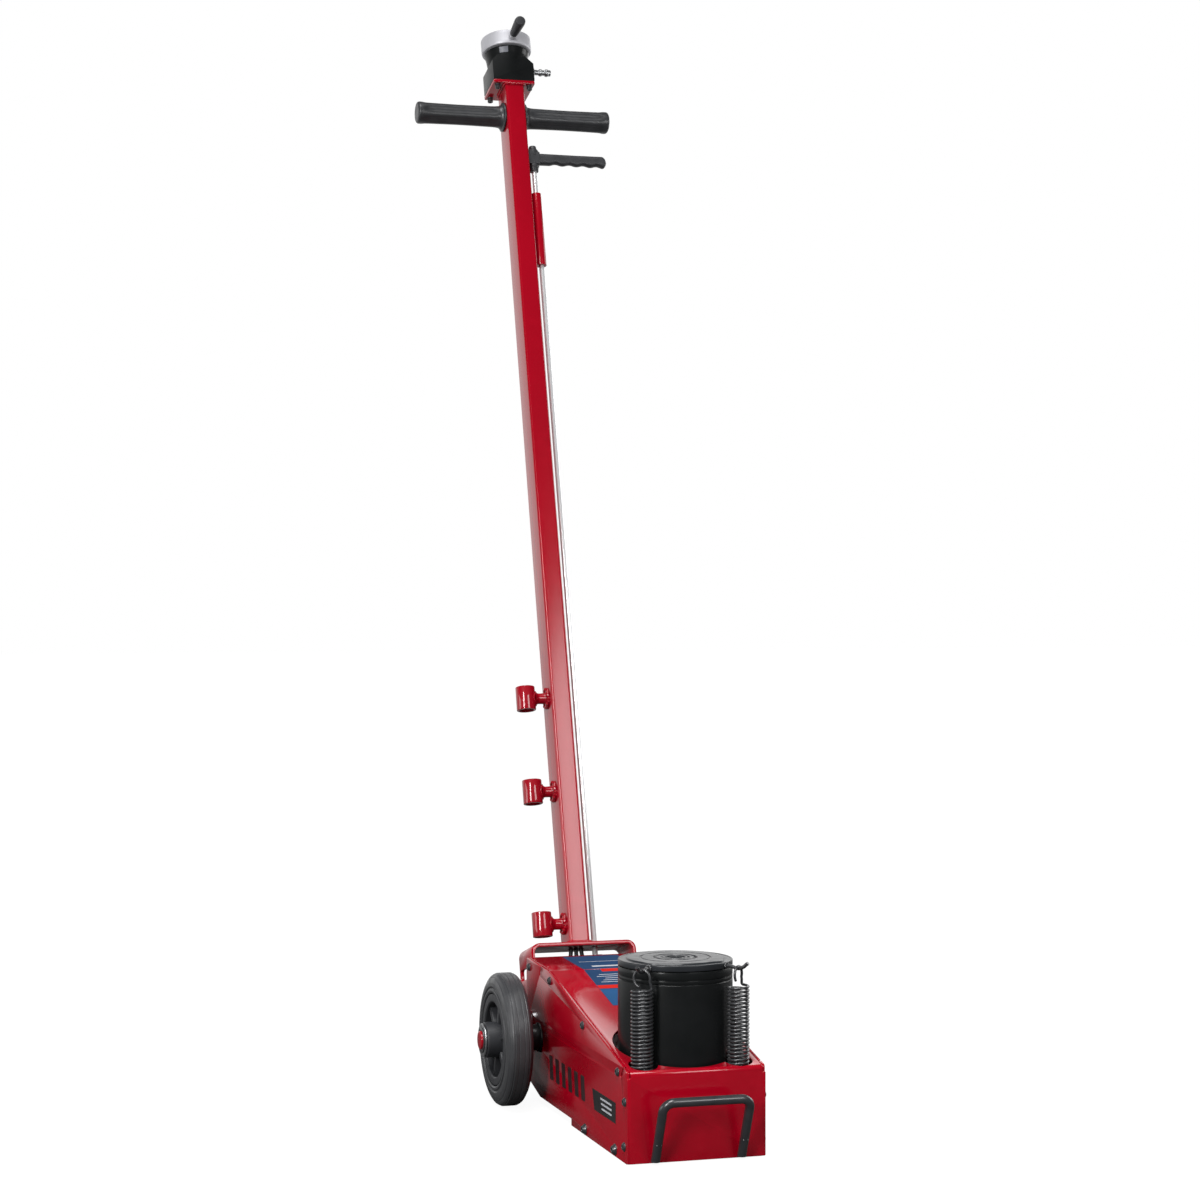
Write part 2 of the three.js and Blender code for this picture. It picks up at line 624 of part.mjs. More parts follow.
function crossbar() {
  const { r, wall, half, v } = CROSSBAR;
  const bar = tube(r - wall, r, -half, half, 'x', MEDIUM).translate(0, MAST.u, v);
  place(mast, 'crossbar_tube', bar, redPaint);
  const bore = r + GAP;
  const profile = [
    [0, half + 0.6],
    [bore, half + 0.6],
    [bore, GRIP.start],
    [GRIP.collar - 1, GRIP.start],
    [GRIP.collar, GRIP.start + 1],
    [GRIP.collar, GRIP.start + 2.4],
    [GRIP.collar - 2, GRIP.start + 3.6],
    [GRIP.r, GRIP.start + 5],
    [GRIP.r, GRIP.end - 5],
    [GRIP.r - 1.6, GRIP.end - 1.6],
    [GRIP.r - 5, GRIP.end],
    [0, GRIP.end],
  ];
  for (const [side, turn] of [['left', Math.PI], ['right', 0]]) {
    const grip = turned(profile, 'x', MEDIUM).rotateZ(turn).translate(0, MAST.u, v);
    place(mast, `grip_${side}`, grip, rubber);
  }
}

function headPlate() {
  const { half, front, rear, bottom, t } = HEAD_PLATE;
  const outline = roundedRect(-half, half, front, rear, 2);
  outline.holes.push(new THREE.Path(roundedRect(-11.5, 11.5, 34.8, 42.4, 3).getPoints(3)));
  place(mast, 'head_plate', alongZ(outline, bottom, bottom + t, 3), redPaint);
}

function valveBody() {
  const { front, rear, bottom, top, u, waist, neck, neckTop } = VALVE;
  const half = HEAD_PLATE.half;
  const faceOn = polygon([
    [-half, bottom],
    [half, bottom],
    [half, top - 12],
    [half - 10, top - 3],
    [half - 15, top],
    [-half + 8, top],
    [-half, top - 9],
  ]);
  const sideOn = new THREE.Shape();
  sideOn.moveTo(front, bottom - 1);
  sideOn.lineTo(rear, bottom - 1);
  sideOn.lineTo(rear, top - 12);
  sideOn.quadraticCurveTo(rear, top, rear - 14, top + 1);
  sideOn.lineTo(front, top + 1);
  const block = common(alongY(faceOn, front - 1, rear + 1), alongX(sideOn, -half - 1, half + 1, 6));
  const collar = turned(
    [
      [0, top - 9],
      [waist - 2, top - 9],
      [waist, neckTop - 10],
      [neck, neckTop],
      [0, neckTop],
    ], 'z', MEDIUM);
  place(mast, 'valve_body', join(block, collar.translate(0, u, 0)), blackPaint);
  const port = 1.9;
  const plug = turned(
    closed([
      [0, INLET.start],
      [6.5, INLET.start],
      [6.5, INLET.start + 3],
      [4.1, INLET.start + 4],
      [4.1, 46],
      [5.4, 48],
      [5.4, 50],
      [4.8, 51],
      [5, INLET.end],
      [port, INLET.end],
      [port, 48],
      [0, 48],
    ]).slice(0, -1), 'x', SMALL).translate(0, INLET.u, INLET.v);
  place(mast, 'air_inlet_plug', plug, brightSteel);
}

function controlHead() {
  const { r, bottom, top, knob } = CONTROL;
  const ring = turned(
    [
      [0, bottom],
      [r - 1.2, bottom],
      [r, bottom + 1.2],
      [r, top - 2],
      [r - 2, top],
      [r - 6, top],
      [r - 7, top - 1.5],
      [0, top - 1.5],
    ], 'z', LARGE).translate(0, VALVE.u, 0);
  const middle = (bottom + top) / 2 - 1.5;
  const ferruleEnd = r + 6;
  const ferrule = turned([[0, r - 4], [5.8, r - 4], [5.2, ferruleEnd], [0, ferruleEnd]], 'y', SMALL);
  ferrule.rotateZ(Math.PI).translate(0, VALVE.u, middle);
  place(mast, 'control_ring', join(ring, ferrule), aluminium);
  const start = ferruleEnd + GAP;
  const grip = turned(
    [
      [0, start],
      [5.1, start],
      [5.6, start + 6],
      [7.3, start + knob - 12],
      [7.5, start + knob - 7],
      [6.6, start + knob - 2.6],
      [4, start + knob - 0.4],
      [0, start + knob],
    ], 'y', MEDIUM);
  grip.rotateZ(Math.PI).translate(0, VALVE.u, middle);
  place(mast, 'control_knob', grip, plastic);
}

// ---------- mast lock: rod, guide and hand lever ----------
function lockRod() {
  const rod = shaft(ROD.r, ROD.bottom, ROD.top, 'z', SMALL).translate(ROD.x, ROD.u, 0);
  place(mast, 'lock_rod', rod, chrome);
  const lip = ROD.r + 0.4;
  const bore = 6;
  const guide = turned(
    closed([
      [lip, GUIDE.bottom],
      [GUIDE.r, GUIDE.bottom],
      [GUIDE.r, GUIDE.top],
      [lip, GUIDE.top],
      [lip, GUIDE.top - 4],
      [bore, GUIDE.top - 4],
      [bore, GUIDE.bottom + 4],
      [lip, GUIDE.bottom + 4],
    ]), 'z', SMALL).translate(ROD.x, ROD.u, 0);
  const tabs = [GUIDE.bottom + 22, GUIDE.top - 22].map((v) =>
    box(MAST.width / 2 + GAP, ROD.x - bore - 0.3, ROD.u - 2.5, ROD.u + 2.5, v - 6, v + 6),
  );
  place(mast, 'rod_guide_tube', join(guide, ...tabs), redPaint);
  const spring = tube(ROD.r + GAP, bore - GAP, GUIDE.bottom + 5, GUIDE.bottom + 62, 'z', SMALL);
  place(mast, 'lock_spring', spring.translate(ROD.x, ROD.u, 0), brightSteel);
}

function lockLever() {
  const { v, half, end, thick } = LEVER;
  const arm = new THREE.Shape();
  arm.moveTo(ROD.x, v + half - 1);
  arm.lineTo(ROD.x + 12, v + half);
  arm.lineTo(end - 7, v + half - 1);
  arm.quadraticCurveTo(end, v + half - 2, end, v - 1);
  arm.quadraticCurveTo(end - 2, v - half - 1, end - 8, v - half - 1);
  const waves = 4;
  const steps = 16;
  for (let i = 1; i <= steps; i += 1) {
    const share = i / steps;
    const wave = 1.5 * (1 - Math.cos(share * waves * 2 * Math.PI)) / 2;
    arm.lineTo(end - 8 - share * (end - 48), v - half - 1 + wave);
  }
  arm.lineTo(ROD.x, v - half);
  const blade = alongY(arm, ROD.u - thick / 2, ROD.u + thick / 2, 5);
  const hub = turned(
    [
      [0, v - 22],
      [7, v - 22],
      [7.4, v - 13],
      [10, v - 9],
      [10, v + 8],
      [8, v + 12],
      [5, v + 19],
      [3, v + 21],
      [0, v + 21],
    ], 'z', MEDIUM).translate(ROD.x, ROD.u, 0);
  const bore = shaft(ROD.r + GAP, v - 30, ROD.top + GAP, 'z', SMALL).translate(ROD.x, ROD.u, 0);
  place(mast, 'lock_lever', cut(join(blade, hub), bore), plastic);
}

function accessorySleeves() {
  const { x, r, bore, length, stub, at } = SLEEVE;
  const near = -MAST.width / 2 - GAP;
  for (const [name, v] of [['lower', at[0]], ['middle', at[1]], ['upper', at[2]]]) {
    const neck = turned(
      [
        [0, x],
        [stub + 3.5, x],
        [stub + 3.5, x + r - 1.5],
        [stub, x + r + 3],
        [stub, near - 3.5],
        [stub + 3, near],
        [0, near],
      ], 'x', SMALL);
    const body = join(shaft(r, -length / 2, length / 2, 'z', MEDIUM).translate(x, 0, 0), neck);
    const hollow = shaft(bore, -length, length, 'z', MEDIUM).translate(x, 0, 0);
    const sleeve = cut(body, hollow).translate(0, MAST.u, v);
    place(mast, `accessory_sleeve_${name}`, sleeve, redPaint);
  }
}

// ---------- air hoses: down the mast, over the pivot and forward to the air motor ----------
const HOSES = [
  {
    name: 'release',
    x: -10,
    end: [
      [-12, 318, 121], [-16, 255, 112], [-22, 190, 124], [-24, 158, 138], [-24, 134, 133], [-24, 128, 111],
    ],
  },
  {
    name: 'supply',
    x: 0,
    end: [[0, 318, 121], [0, 298, 110], [0, 286, 92], [0, 280, 88], [0, 274.9, 87.6]],
  },
  {
    name: 'return',
    x: 10,
    end: [[10, 318, 121], [12, 300, 106], [14, 289, 80], [14, 281, 67], [14, 274.9, 66.4]],
  },
];

function hoses() {
  for (const { name, x, end } of HOSES) {
    const lower = [[x, 359.5, 122], [x, 340, 124], ...end];
    place(root, `hose_${name}_lower`, bentBar(smoothPath(lower), HOSE_R, 8, 16), rubber);
    const inMast = x * 0.75;
    const bend = [[x, -4.6, 16.4], [x, 20, 34], [x, 46, 62], [x, 56, 86], [inMast, MAST.u, 104]];
    const drift = [...bend, [inMast, 55, 140], [inMast, 44, 230], [inMast, 38.5, 300]];
    const run = shaft(HOSE_R, 299, MAST.top, 'z', 8).translate(inMast, 38.5, 0);
    const upper = join(bentBar(smoothPath(drift), HOSE_R, 8, 16), run);
    place(mast, `hose_${name}_upper`, upper, rubber);
  }
}

basePlate();
sidePlates();
topCover();
rearCrossMember();
frontHandle();
hydraulicBase();
barrel();
ram();
saddleLid();
returnSprings();
airMotor();
releaseValve();
axle();
wheels();
pivotShaft();
lockQuadrant();
mastBracket();
mastTube();
crossbar();
headPlate();
valveBody();
controlHead();
lockRod();
lockLever();
accessorySleeves();
hoses();

export default root;
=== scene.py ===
"""The looks of the air-hydraulic trolley jack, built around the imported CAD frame.

Lengths are millimetres until a mesh is made. MAST is the frame of everything on the mast: x across,
u behind the pivot and v along it. Lights, camera and floor are in metres."""

import json
import math

import bmesh
import bpy
from mathutils import Matrix, Vector
from mathutils.geometry import tessellate_polygon


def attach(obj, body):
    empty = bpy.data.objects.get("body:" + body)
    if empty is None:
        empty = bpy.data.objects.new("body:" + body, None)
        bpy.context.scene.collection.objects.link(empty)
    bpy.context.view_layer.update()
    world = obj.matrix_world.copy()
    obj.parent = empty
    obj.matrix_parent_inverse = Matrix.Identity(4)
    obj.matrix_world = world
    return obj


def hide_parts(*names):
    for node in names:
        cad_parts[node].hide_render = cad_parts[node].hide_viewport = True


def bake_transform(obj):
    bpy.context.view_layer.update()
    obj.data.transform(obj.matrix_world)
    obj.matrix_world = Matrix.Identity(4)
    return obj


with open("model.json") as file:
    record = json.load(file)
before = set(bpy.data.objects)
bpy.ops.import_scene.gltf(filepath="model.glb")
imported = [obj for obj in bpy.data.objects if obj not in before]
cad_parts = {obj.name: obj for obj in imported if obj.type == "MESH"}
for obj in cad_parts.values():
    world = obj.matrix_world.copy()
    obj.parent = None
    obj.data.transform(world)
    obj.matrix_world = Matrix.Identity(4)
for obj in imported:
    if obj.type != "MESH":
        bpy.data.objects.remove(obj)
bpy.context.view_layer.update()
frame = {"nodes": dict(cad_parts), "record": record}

MM = 0.001
TAU = 2 * math.pi
HERE = Matrix.Identity(4)
GAP = 0.3  # air between pieces that touch on the real jack
AXLE, AXLE_R = (0, 319, 90), 12.5
PIVOT, PIVOT_R = (0, 365, 105), 10
LEAN = math.radians(15.7)
MAST = Matrix.Translation(PIVOT) @ Matrix.Rotation(-LEAN, 4, "X")
FINE, ROUND, COARSE = 96, 48, 24  # sides of round pieces
SIDES = (("left", -1), ("right", 1))


# ---------- outlines and profiles ----------
def rounded(points, radius, closed=True, steps=4):
    """The corners of a line of (a, b) or (a, b, own radius) as arcs."""
    out = []
    count = len(points)
    for i, point in enumerate(points):
        p = Vector(point[:2])
        own = point[2] if len(point) > 2 else radius
        if own == 0 or (not closed and i in (0, count - 1)):
            out.append(tuple(p))
            continue
        back = Vector(points[i - 1][:2]) - p
        on = Vector(points[(i + 1) % count][:2]) - p
        half = back.angle(on) / 2
        if half > math.radians(89):
            out.append(tuple(p))
            continue
        reach = min(own / math.tan(half), back.length * 0.48, on.length * 0.48)
        r = reach * math.tan(half)
        centre = p + (back.normalized() + on.normalized()).normalized() * (r / math.sin(half))
        start = p + back.normalized() * reach - centre
        end = p + on.normalized() * reach - centre
        turn = start.angle_signed(end)
        for k in range(steps + 1):
            a = -turn * k / steps
            x = start.x * math.cos(a) - start.y * math.sin(a)
            y = start.x * math.sin(a) + start.y * math.cos(a)
            out.append((centre.x + x, centre.y + y))
    return out


def rectangle(a0, a1, b0, b1, r=0, steps=4):
    return rounded([(a0, b0), (a1, b0), (a1, b1), (a0, b1)], r, steps=steps)


def ring(a, b, r, count=ROUND):
    return [(a + r * math.cos(TAU * i / count), b + r * math.sin(TAU * i / count)) for i in range(count)]


def arc(r, start, end, count):
    """Points of a circle about the origin, from one angle to another."""
    turns = [start + (end - start) * k / count for k in range(count + 1)]
    return [(r * math.cos(a), r * math.sin(a)) for a in turns]


def doubled(half):
    """A half profile of (r, x) or (r, x, own radius), after its mirror image."""
    return [(r, -x, *own) for r, x, *own in reversed(half)] + half


def area(points):
    pairs = zip(points, points[1:] + points[:1])
    return sum(a[0] * b[1] - b[0] * a[1] for a, b in pairs) / 2


def inset(points, distance):
    """An outline moved to its left by distance, corner by corner."""
    out = []
    for i, p in enumerate(points):
        p = Vector(p)
        before = (p - Vector(points[i - 1])).normalized()
        after = (Vector(points[(i + 1) % len(points)]) - p).normalized()
        n1 = Vector((-before.y, before.x))
        n2 = Vector((-after.y, after.x))
        out.append(tuple(p + (n1 + n2) * (distance / max(0.35, 1 + n1.dot(n2)))))
    return out


def smooth(points, per_span=8):
    """A Catmull-Rom line through points."""
    pts = [Vector(p) for p in points]
    pts = [2 * pts[0] - pts[1], *pts, 2 * pts[-1] - pts[-2]]
    out = []
    for i in range(1, len(pts) - 2):
        a, b, c, d = pts[i - 1 : i + 3]
        for k in range(per_span):
            t = k / per_span
            square = 2 * a - 5 * b + 4 * c - d
            cube = 3 * b - 3 * c + d - a
            out.append(0.5 * (2 * b + (c - a) * t + square * t * t + cube * t**3))
    return [*out, pts[-2]]


# ---------- bodies: each gives (vertices, faces) ----------
def to_axis(a, b, h, axis):
    return {"x": (h, a, b), "y": (b, h, a), "z": (a, b, h)}[axis]


def moved(part, matrix):
    verts, faces = part
    return [matrix @ Vector(v) for v in verts], faces


def shifted(part, x=0, y=0, z=0):
    return moved(part, Matrix.Translation((x, y, z)))


def turned(profile, segments=ROUND, axis="z", warp=None):
    """A solid of revolution of (radius, height) pairs. It closes on its axis, or else on itself."""
    verts, rings, faces = [], [], []
    for r, h in profile:
        if r == 0:
            rings.append([len(verts)] * segments)
            verts.append(to_axis(0, 0, h, axis))
            continue
        rings.append(range(len(verts), len(verts) + segments))
        for i in range(segments):
            a = TAU * i / segments
            rr, hh = warp(r, h, a) if warp else (r, h)
            verts.append(to_axis(rr * math.cos(a), rr * math.sin(a), hh, axis))
    pairs = list(zip(rings, rings[1:]))
    if profile[0][0] != 0:
        pairs.append((rings[-1], rings[0]))
    for low, high in pairs:
        for i in range(segments):
            j = (i + 1) % segments
            face = list(dict.fromkeys((low[i], low[j], high[j], high[i])))
            if len(face) > 2:
                faces.append(face)
    return verts, faces


def tube(inner, outer, low, high, r=0.6, segments=ROUND, axis="z"):
    profile = rounded([(inner, low), (outer, low), (outer, high), (inner, high)], r, steps=3)
    return turned(profile, segments, axis)


def rod(radius, low, high, r=0.6, segments=ROUND, axis="z"):
    profile = rounded([(0, low), (radius, low), (radius, high), (0, high)], r, closed=False, steps=3)
    return turned(profile, segments, axis)


def swept(path, radius, sides=12, closed=False):
    """A round bar along a line of points. radius is one number, or one for each point."""
    pts = [Vector(p) for p in path]
    count = len(pts)
    radii = radius if isinstance(radius, list) else [radius] * count
    verts, faces = [], []
    normal = None
    for i, p in enumerate(pts):
        if closed:
            tangent = (pts[(i + 1) % count] - pts[i - 1]).normalized()
        else:
            tangent = (pts[min(i + 1, count - 1)] - pts[max(i - 1, 0)]).normalized()
        if normal is None:
            normal = tangent.orthogonal().normalized()
        normal = (normal - tangent * normal.dot(tangent)).normalized()
        side = tangent.cross(normal)
        for k in range(sides):
            a = TAU * k / sides
            verts.append(p + (normal * math.cos(a) + side * math.sin(a)) * radii[i])
    for i in range(count if closed else count - 1):
        low, high = i * sides, ((i + 1) % count) * sides
        for k in range(sides):
            j = (k + 1) % sides
            faces.append((low + k, low + j, high + j, high + k))
    if not closed:
        faces.append(tuple(range(sides)))
        faces.append(tuple(range((count - 1) * sides, count * sides)))
    return verts, faces


def prism(outline, low, high, axis="z", holes=(), edge=0.6, steps=2):
    """A plate of an outline with holes, its edges rounded by edge. Axis x takes (y, z), y takes (z, x)."""
    loops = [outline if area(outline) > 0 else outline[::-1]]
    loops += [h if area(h) < 0 else h[::-1] for h in holes]
    levels = []
    for k in range(steps + 1):
        t = math.pi / 2 * k / steps
        levels.append((edge * (1 - math.sin(t)), low + edge * (1 - math.cos(t))))
    levels += [(d, high - (z - low)) for d, z in reversed(levels)]
    verts, faces, first = [], [], []
    for loop in loops:
        first.append(len(verts))
        for d, z in levels:
            verts += [to_axis(a, b, z, axis) for a, b in (inset(loop, d) if d else loop)]
        count = len(loop)
        for level in range(len(levels) - 1):
            start = first[-1] + level * count
            for i in range(count):
                j = (i + 1) % count
                faces.append((start + i, start + j, start + count + j, start + count + i))
    lid_loops = [[Vector((a, b, 0)) for a, b in inset(loop, edge)] for loop in loops]
    for level in (0, len(levels) - 1):
        index = []
        for start, loop in zip(first, loops):
            index += range(start + level * len(loop), start + (level + 1) * len(loop))
        faces += [[index[i] for i in tri] for tri in tessellate_polygon(lid_loops)]
    return verts, faces


def cutter(outline, low, high, axis="z"):
    """A sharp-edged prism for a boolean."""
    return prism(outline, low, high, axis, edge=0.02, steps=1)


def lofted(sections):
    """A body through rings of the same number of points."""
    verts = [v for section in sections for v in section]
    count = len(sections[0])
    faces = [tuple(range(count)), tuple(range(len(verts) - count, len(verts)))]
    for level in range(len(sections) - 1):
        start = level * count
        for i in range(count):
            j = (i + 1) % count
            faces.append((start + i, start + j, start + count + j, start + count + i))
    return verts, faces


def mesh_object(name, parts, matrix=HERE):
    verts, faces = [], []
    for part_verts, part_faces in parts:
        start = len(verts)
        verts += [(matrix @ Vector(v)) * MM for v in part_verts]
        faces += [[start + i for i in f] for f in part_faces]
    mesh = bpy.data.meshes.new(name)
    mesh.from_pydata(verts, [], faces)
    work = bmesh.new()
    work.from_mesh(mesh)
    bmesh.ops.remove_doubles(work, verts=work.verts, dist=1e-7)
    bmesh.ops.recalc_face_normals(work, faces=work.faces)
    work.to_mesh(mesh)
    work.free()
    obj = bpy.data.objects.new(name, mesh)
    bpy.context.scene.collection.objects.link(obj)
    return obj


def apply_modifiers(obj):
    bpy.context.view_layer.update()
    shown = obj.evaluated_get(bpy.context.evaluated_depsgraph_get())
    mesh = bpy.data.meshes.new_from_object(shown)
    obj.modifiers.clear()
    obj.data = mesh


def boolean(obj, tool_parts, operation, matrix=HERE):
    tool = mesh_object("tool", tool_parts, matrix)
    step = obj.modifiers.new("boolean", "BOOLEAN")
    step.operation = operation
    step.solver = "EXACT"
    step.object = tool
    apply_modifiers(obj)
    bpy.data.objects.remove(tool)


def soften(obj, width, angle=35, segments=2):
    """Rounds the sharp edges of a body made by a boolean."""
    step = obj.modifiers.new("soften", "BEVEL")
    step.width = width * MM
    step.segments = segments
    step.limit_method = "ANGLE"
    step.angle_limit = math.radians(angle)
    step.use_clamp_overlap = True
    apply_modifiers(obj)


def dress(obj, material, body, stands_for=(), smooth_angle=32):
    """Shading, material, body and the CAD nodes it stands for."""
    obj.data.shade_smooth()
    obj.data.set_sharp_from_angle(angle=math.radians(smooth_angle))
    obj.data.materials.clear()
    obj.data.materials.append(MATERIALS[material])
    if isinstance(body, str):
        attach(obj, body)
    else:
        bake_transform(obj)
    if stands_for:
        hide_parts(*stands_for)


def piece(name, parts, material, body, stands_for=(), matrix=HERE, smooth_angle=32):
    dress(mesh_object(name, parts, matrix), material, body, stands_for, smooth_angle)


# ---------- materials ----------
class Nodes:
    """A node tree being built."""

    def __init__(self, tree):
        self.tree = tree

    def node(self, kind, **sockets):
        made = self.tree.nodes.new(kind)
        for key, value in sockets.items():
            made.inputs[key.replace("_", " ")].default_value = value
        return made

    def link(self, out, into):
        self.tree.links.new(out, into)

    def spread(self, value, low, high, start=0.3, end=0.7):
        made = self.node("ShaderNodeMapRange", From_Min=start, From_Max=end, To_Min=low, To_Max=high)
        self.link(value, made.inputs["Value"])
        return made.outputs["Result"]


class Surface(Nodes):
    """A Principled material with its colour, roughness and bump drawn by noise in object space."""

    def __init__(self, name, colour, rough, metal=0.0, coat=0.0, coat_rough=0.1, specular=0.5):
        self.name = name
        self.colour = colour
        self.material = bpy.data.materials.new(name)
        self.material.use_nodes = True
        super().__init__(self.material.node_tree)
        self.shader = self.tree.nodes["Principled BSDF"]
        inputs = self.shader.inputs
        inputs["Base Color"].default_value = (*colour, 1)
        inputs["Roughness"].default_value = rough
        inputs["Metallic"].default_value = metal
        inputs["Coat Weight"].default_value = coat
        inputs["Coat Roughness"].default_value = coat_rough
        inputs["Specular IOR Level"].default_value = specular
        self.place = self.node("ShaderNodeTexCoord").outputs["Object"]

    def noise(self, scale, detail=3.0, stretch=None):
        made = self.node("ShaderNodeTexNoise", Scale=scale, Detail=detail)
        where = self.place
        if stretch:
            mapping = self.node("ShaderNodeMapping", Scale=stretch)
            self.link(where, mapping.inputs["Vector"])
            where = mapping.outputs["Vector"]
        self.link(where, made.inputs["Vector"])
        return made.outputs["Fac"]

    def mottled(self, other, scale, detail=4.0, start=0.3, end=0.7):
        """The colour drifts towards other."""
        mix = self.node("ShaderNodeMix")
        mix.data_type = "RGBA"
        colours = [s for s in mix.inputs if s.type == "RGBA"]
        before = self.shader.inputs["Base Color"]
        if before.is_linked:
            self.link(before.links[0].from_socket, colours[0])
        else:
            colours[0].default_value = (*self.colour, 1)
        colours[1].default_value = (*other, 1)
        self.link(self.spread(self.noise(scale, detail), 0, 1, start, end), mix.inputs[0])
        result = [s for s in mix.outputs if s.type == "RGBA"][0]
        self.link(result, before)
        return self

    def uneven(self, low, high, scale, detail=4.0, stretch=None):
        """Roughness from low to high."""
        rough = self.spread(self.noise(scale, detail, stretch), low, high)
        self.link(rough, self.shader.inputs["Roughness"])
        return self

    def grain(self, scale, height, detail=2.0, stretch=None):
        """Bump of that height in millimetres."""
        bump = self.node("ShaderNodeBump", Strength=1.0, Distance=height * MM)
        self.link(self.noise(scale, detail, stretch), bump.inputs["Height"])
        normal = self.shader.inputs["Normal"]
        if normal.is_linked:
            self.link(normal.links[0].from_socket, bump.inputs["Normal"])
        self.link(bump.outputs["Normal"], normal)
        return self


def build_materials():
    surfaces = [
        Surface("red_paint", (0.335, 0.0002, 0.0095), 0.5, coat=1.0, coat_rough=0.16, specular=0.0)
        .mottled((0.295, 0.0003, 0.0085), 6, 5).mottled((0.35, 0.0008, 0.011), 55, 3, 0.5, 0.85)
        .uneven(0.44, 0.56, 30).grain(420, 0.03).grain(60, 0.02),
        Surface("red_gloss", (0.300, 0.0006, 0.0090), 0.4, coat=1.0, coat_rough=0.04, specular=0.1)
        .mottled((0.265, 0.0006, 0.0080), 20).uneven(0.34, 0.46, 40),
        Surface("black_paint", (0.0042, 0.0050, 0.0052), 0.42, coat=0.28, coat_rough=0.12, specular=0.12)
        .mottled((0.0062, 0.0070, 0.0074), 20).uneven(0.38, 0.48, 40).grain(520, 0.03),
        Surface("grey_paint", (0.016, 0.018, 0.021), 0.38, coat=0.3, coat_rough=0.12, specular=0.15)
        .mottled((0.021, 0.023, 0.026), 35).uneven(0.32, 0.42, 60).grain(380, 0.02),
        Surface("handle_paint", (0.022, 0.023, 0.026), 0.34, coat=0.5, coat_rough=0.16, specular=0.4)
        .mottled((0.032, 0.033, 0.036), 60).uneven(0.28, 0.42, 60).grain(300, 0.03),
        # The grey of the patch on the valve neck: a painted reflection of a soft box.
        Surface("reflection_grey", (0.15, 0.155, 0.18), 0.4, specular=0.4).mottled((0.11, 0.115, 0.13), 70)
        .uneven(0.36, 0.5, 60),
        Surface("black_steel", (0.028, 0.029, 0.032), 0.30, metal=0.2, coat=0.4, coat_rough=0.18)
        .mottled((0.044, 0.045, 0.048), 160, 3).uneven(0.24, 0.36, 200),
        Surface("zinc_steel", (0.50, 0.51, 0.52), 0.3, metal=1.0).mottled((0.36, 0.37, 0.38), 90, 5)
        .uneven(0.24, 0.42, 150).grain(600, 0.02),
        # Half metallic and near white: the rod's brightness is a painted reflection of bright surroundings.
        Surface("chrome_steel", (0.86, 0.87, 0.88), 0.16, metal=0.5).mottled((0.82, 0.83, 0.84), 12, 2)
        .uneven(0.13, 0.19, 12, 2),
        Surface("machined_aluminium", (0.52, 0.52, 0.55), 0.5, metal=0.4)
        .mottled((0.49, 0.49, 0.52), 25, 3).uneven(0.46, 0.54, 60)
        .grain(120, 0.004, stretch=(0.4, 0.4, 30)),
        Surface("cast_iron", (0.055, 0.055, 0.058), 0.62, metal=0.4).mottled((0.070, 0.069, 0.067), 80)
        .uneven(0.55, 0.70, 120).grain(300, 0.06, 4),
        Surface("tyre_rubber", (0.026, 0.027, 0.030), 0.42, coat=0.16, coat_rough=0.24)
        .mottled((0.040, 0.041, 0.044), 30, 5).mottled((0.062, 0.060, 0.056), 70, 4, 0.64, 0.92)
        .uneven(0.34, 0.56, 50).grain(700, 0.04, 3),
        Surface("soft_rubber", (0.019, 0.020, 0.022), 0.4, specular=0.55)
        .mottled((0.029, 0.030, 0.033), 60).uneven(0.34, 0.46, 90).grain(900, 0.02, 3),
        Surface("black_plastic", (0.022, 0.023, 0.026), 0.46, specular=0.45)
        .mottled((0.031, 0.032, 0.036), 40).uneven(0.40, 0.54, 90).grain(800, 0.03, 3),
        Surface("seal_rubber", (0.012, 0.012, 0.012), 0.45).uneven(0.38, 0.52, 200).grain(500, 0.02),
        Surface("label_blue", (0.021, 0.048, 0.108), 0.5, specular=0.0)
        .mottled((0.025, 0.054, 0.118), 40).uneven(0.45, 0.55, 80),
        Surface("label_band", (0.026, 0.085, 0.19), 0.5, specular=0.0)
        .mottled((0.027, 0.084, 0.205), 40).uneven(0.45, 0.55, 80),
        Surface("label_stripe", (0.52, 0.022, 0.016), 0.5, specular=0.0)
        .mottled((0.47, 0.019, 0.014), 40).uneven(0.45, 0.55, 80),
        Surface("label_mark", (0.50, 0.51, 0.54), 0.45, specular=0.15).mottled((0.40, 0.41, 0.44), 60)
        .uneven(0.40, 0.52, 80),
        Surface("label_black", (0.010, 0.010, 0.011), 0.34, specular=0.35)
        .mottled((0.014, 0.014, 0.015), 40).uneven(0.30, 0.42, 80),
        Surface("side_bars", (0.022, 0.008, 0.009), 0.38, specular=0.35)
        .mottled((0.030, 0.010, 0.011), 40).uneven(0.32, 0.46, 80),
    ]
    return {surface.name: surface.material for surface in surfaces}


MATERIALS = build_materials()
NODE_SLOT = {s["node"]: s["material_slot"] for s in frame["record"]["subparts"]}


# ---------- chassis sheet metal ----------
FRONT_Y, REAR_Y = -85, 386
FRONT_Z, REAR_Z = 112.5, 190
FOLD = (273, 187)
SLOPE = (FOLD[1] - FRONT_Z) / (FOLD[0] - FRONT_Y)
SHEET_T = 3
SIDE_X, SIDE_T = 90, 4
COVER_X = 85.7
FOLD_R = 6.5
LAP_Z = 105
BARREL_HOLE_R = 79.5
LOBE_R = 18.5
LOBES = ((-62.5, -62.5), (61, -63.5))  # where the cover makes room for the springs
BASE_END, BASE_T = 161, 16


def slope_z(y):
    return FRONT_Z + SLOPE * (y - FRONT_Y)


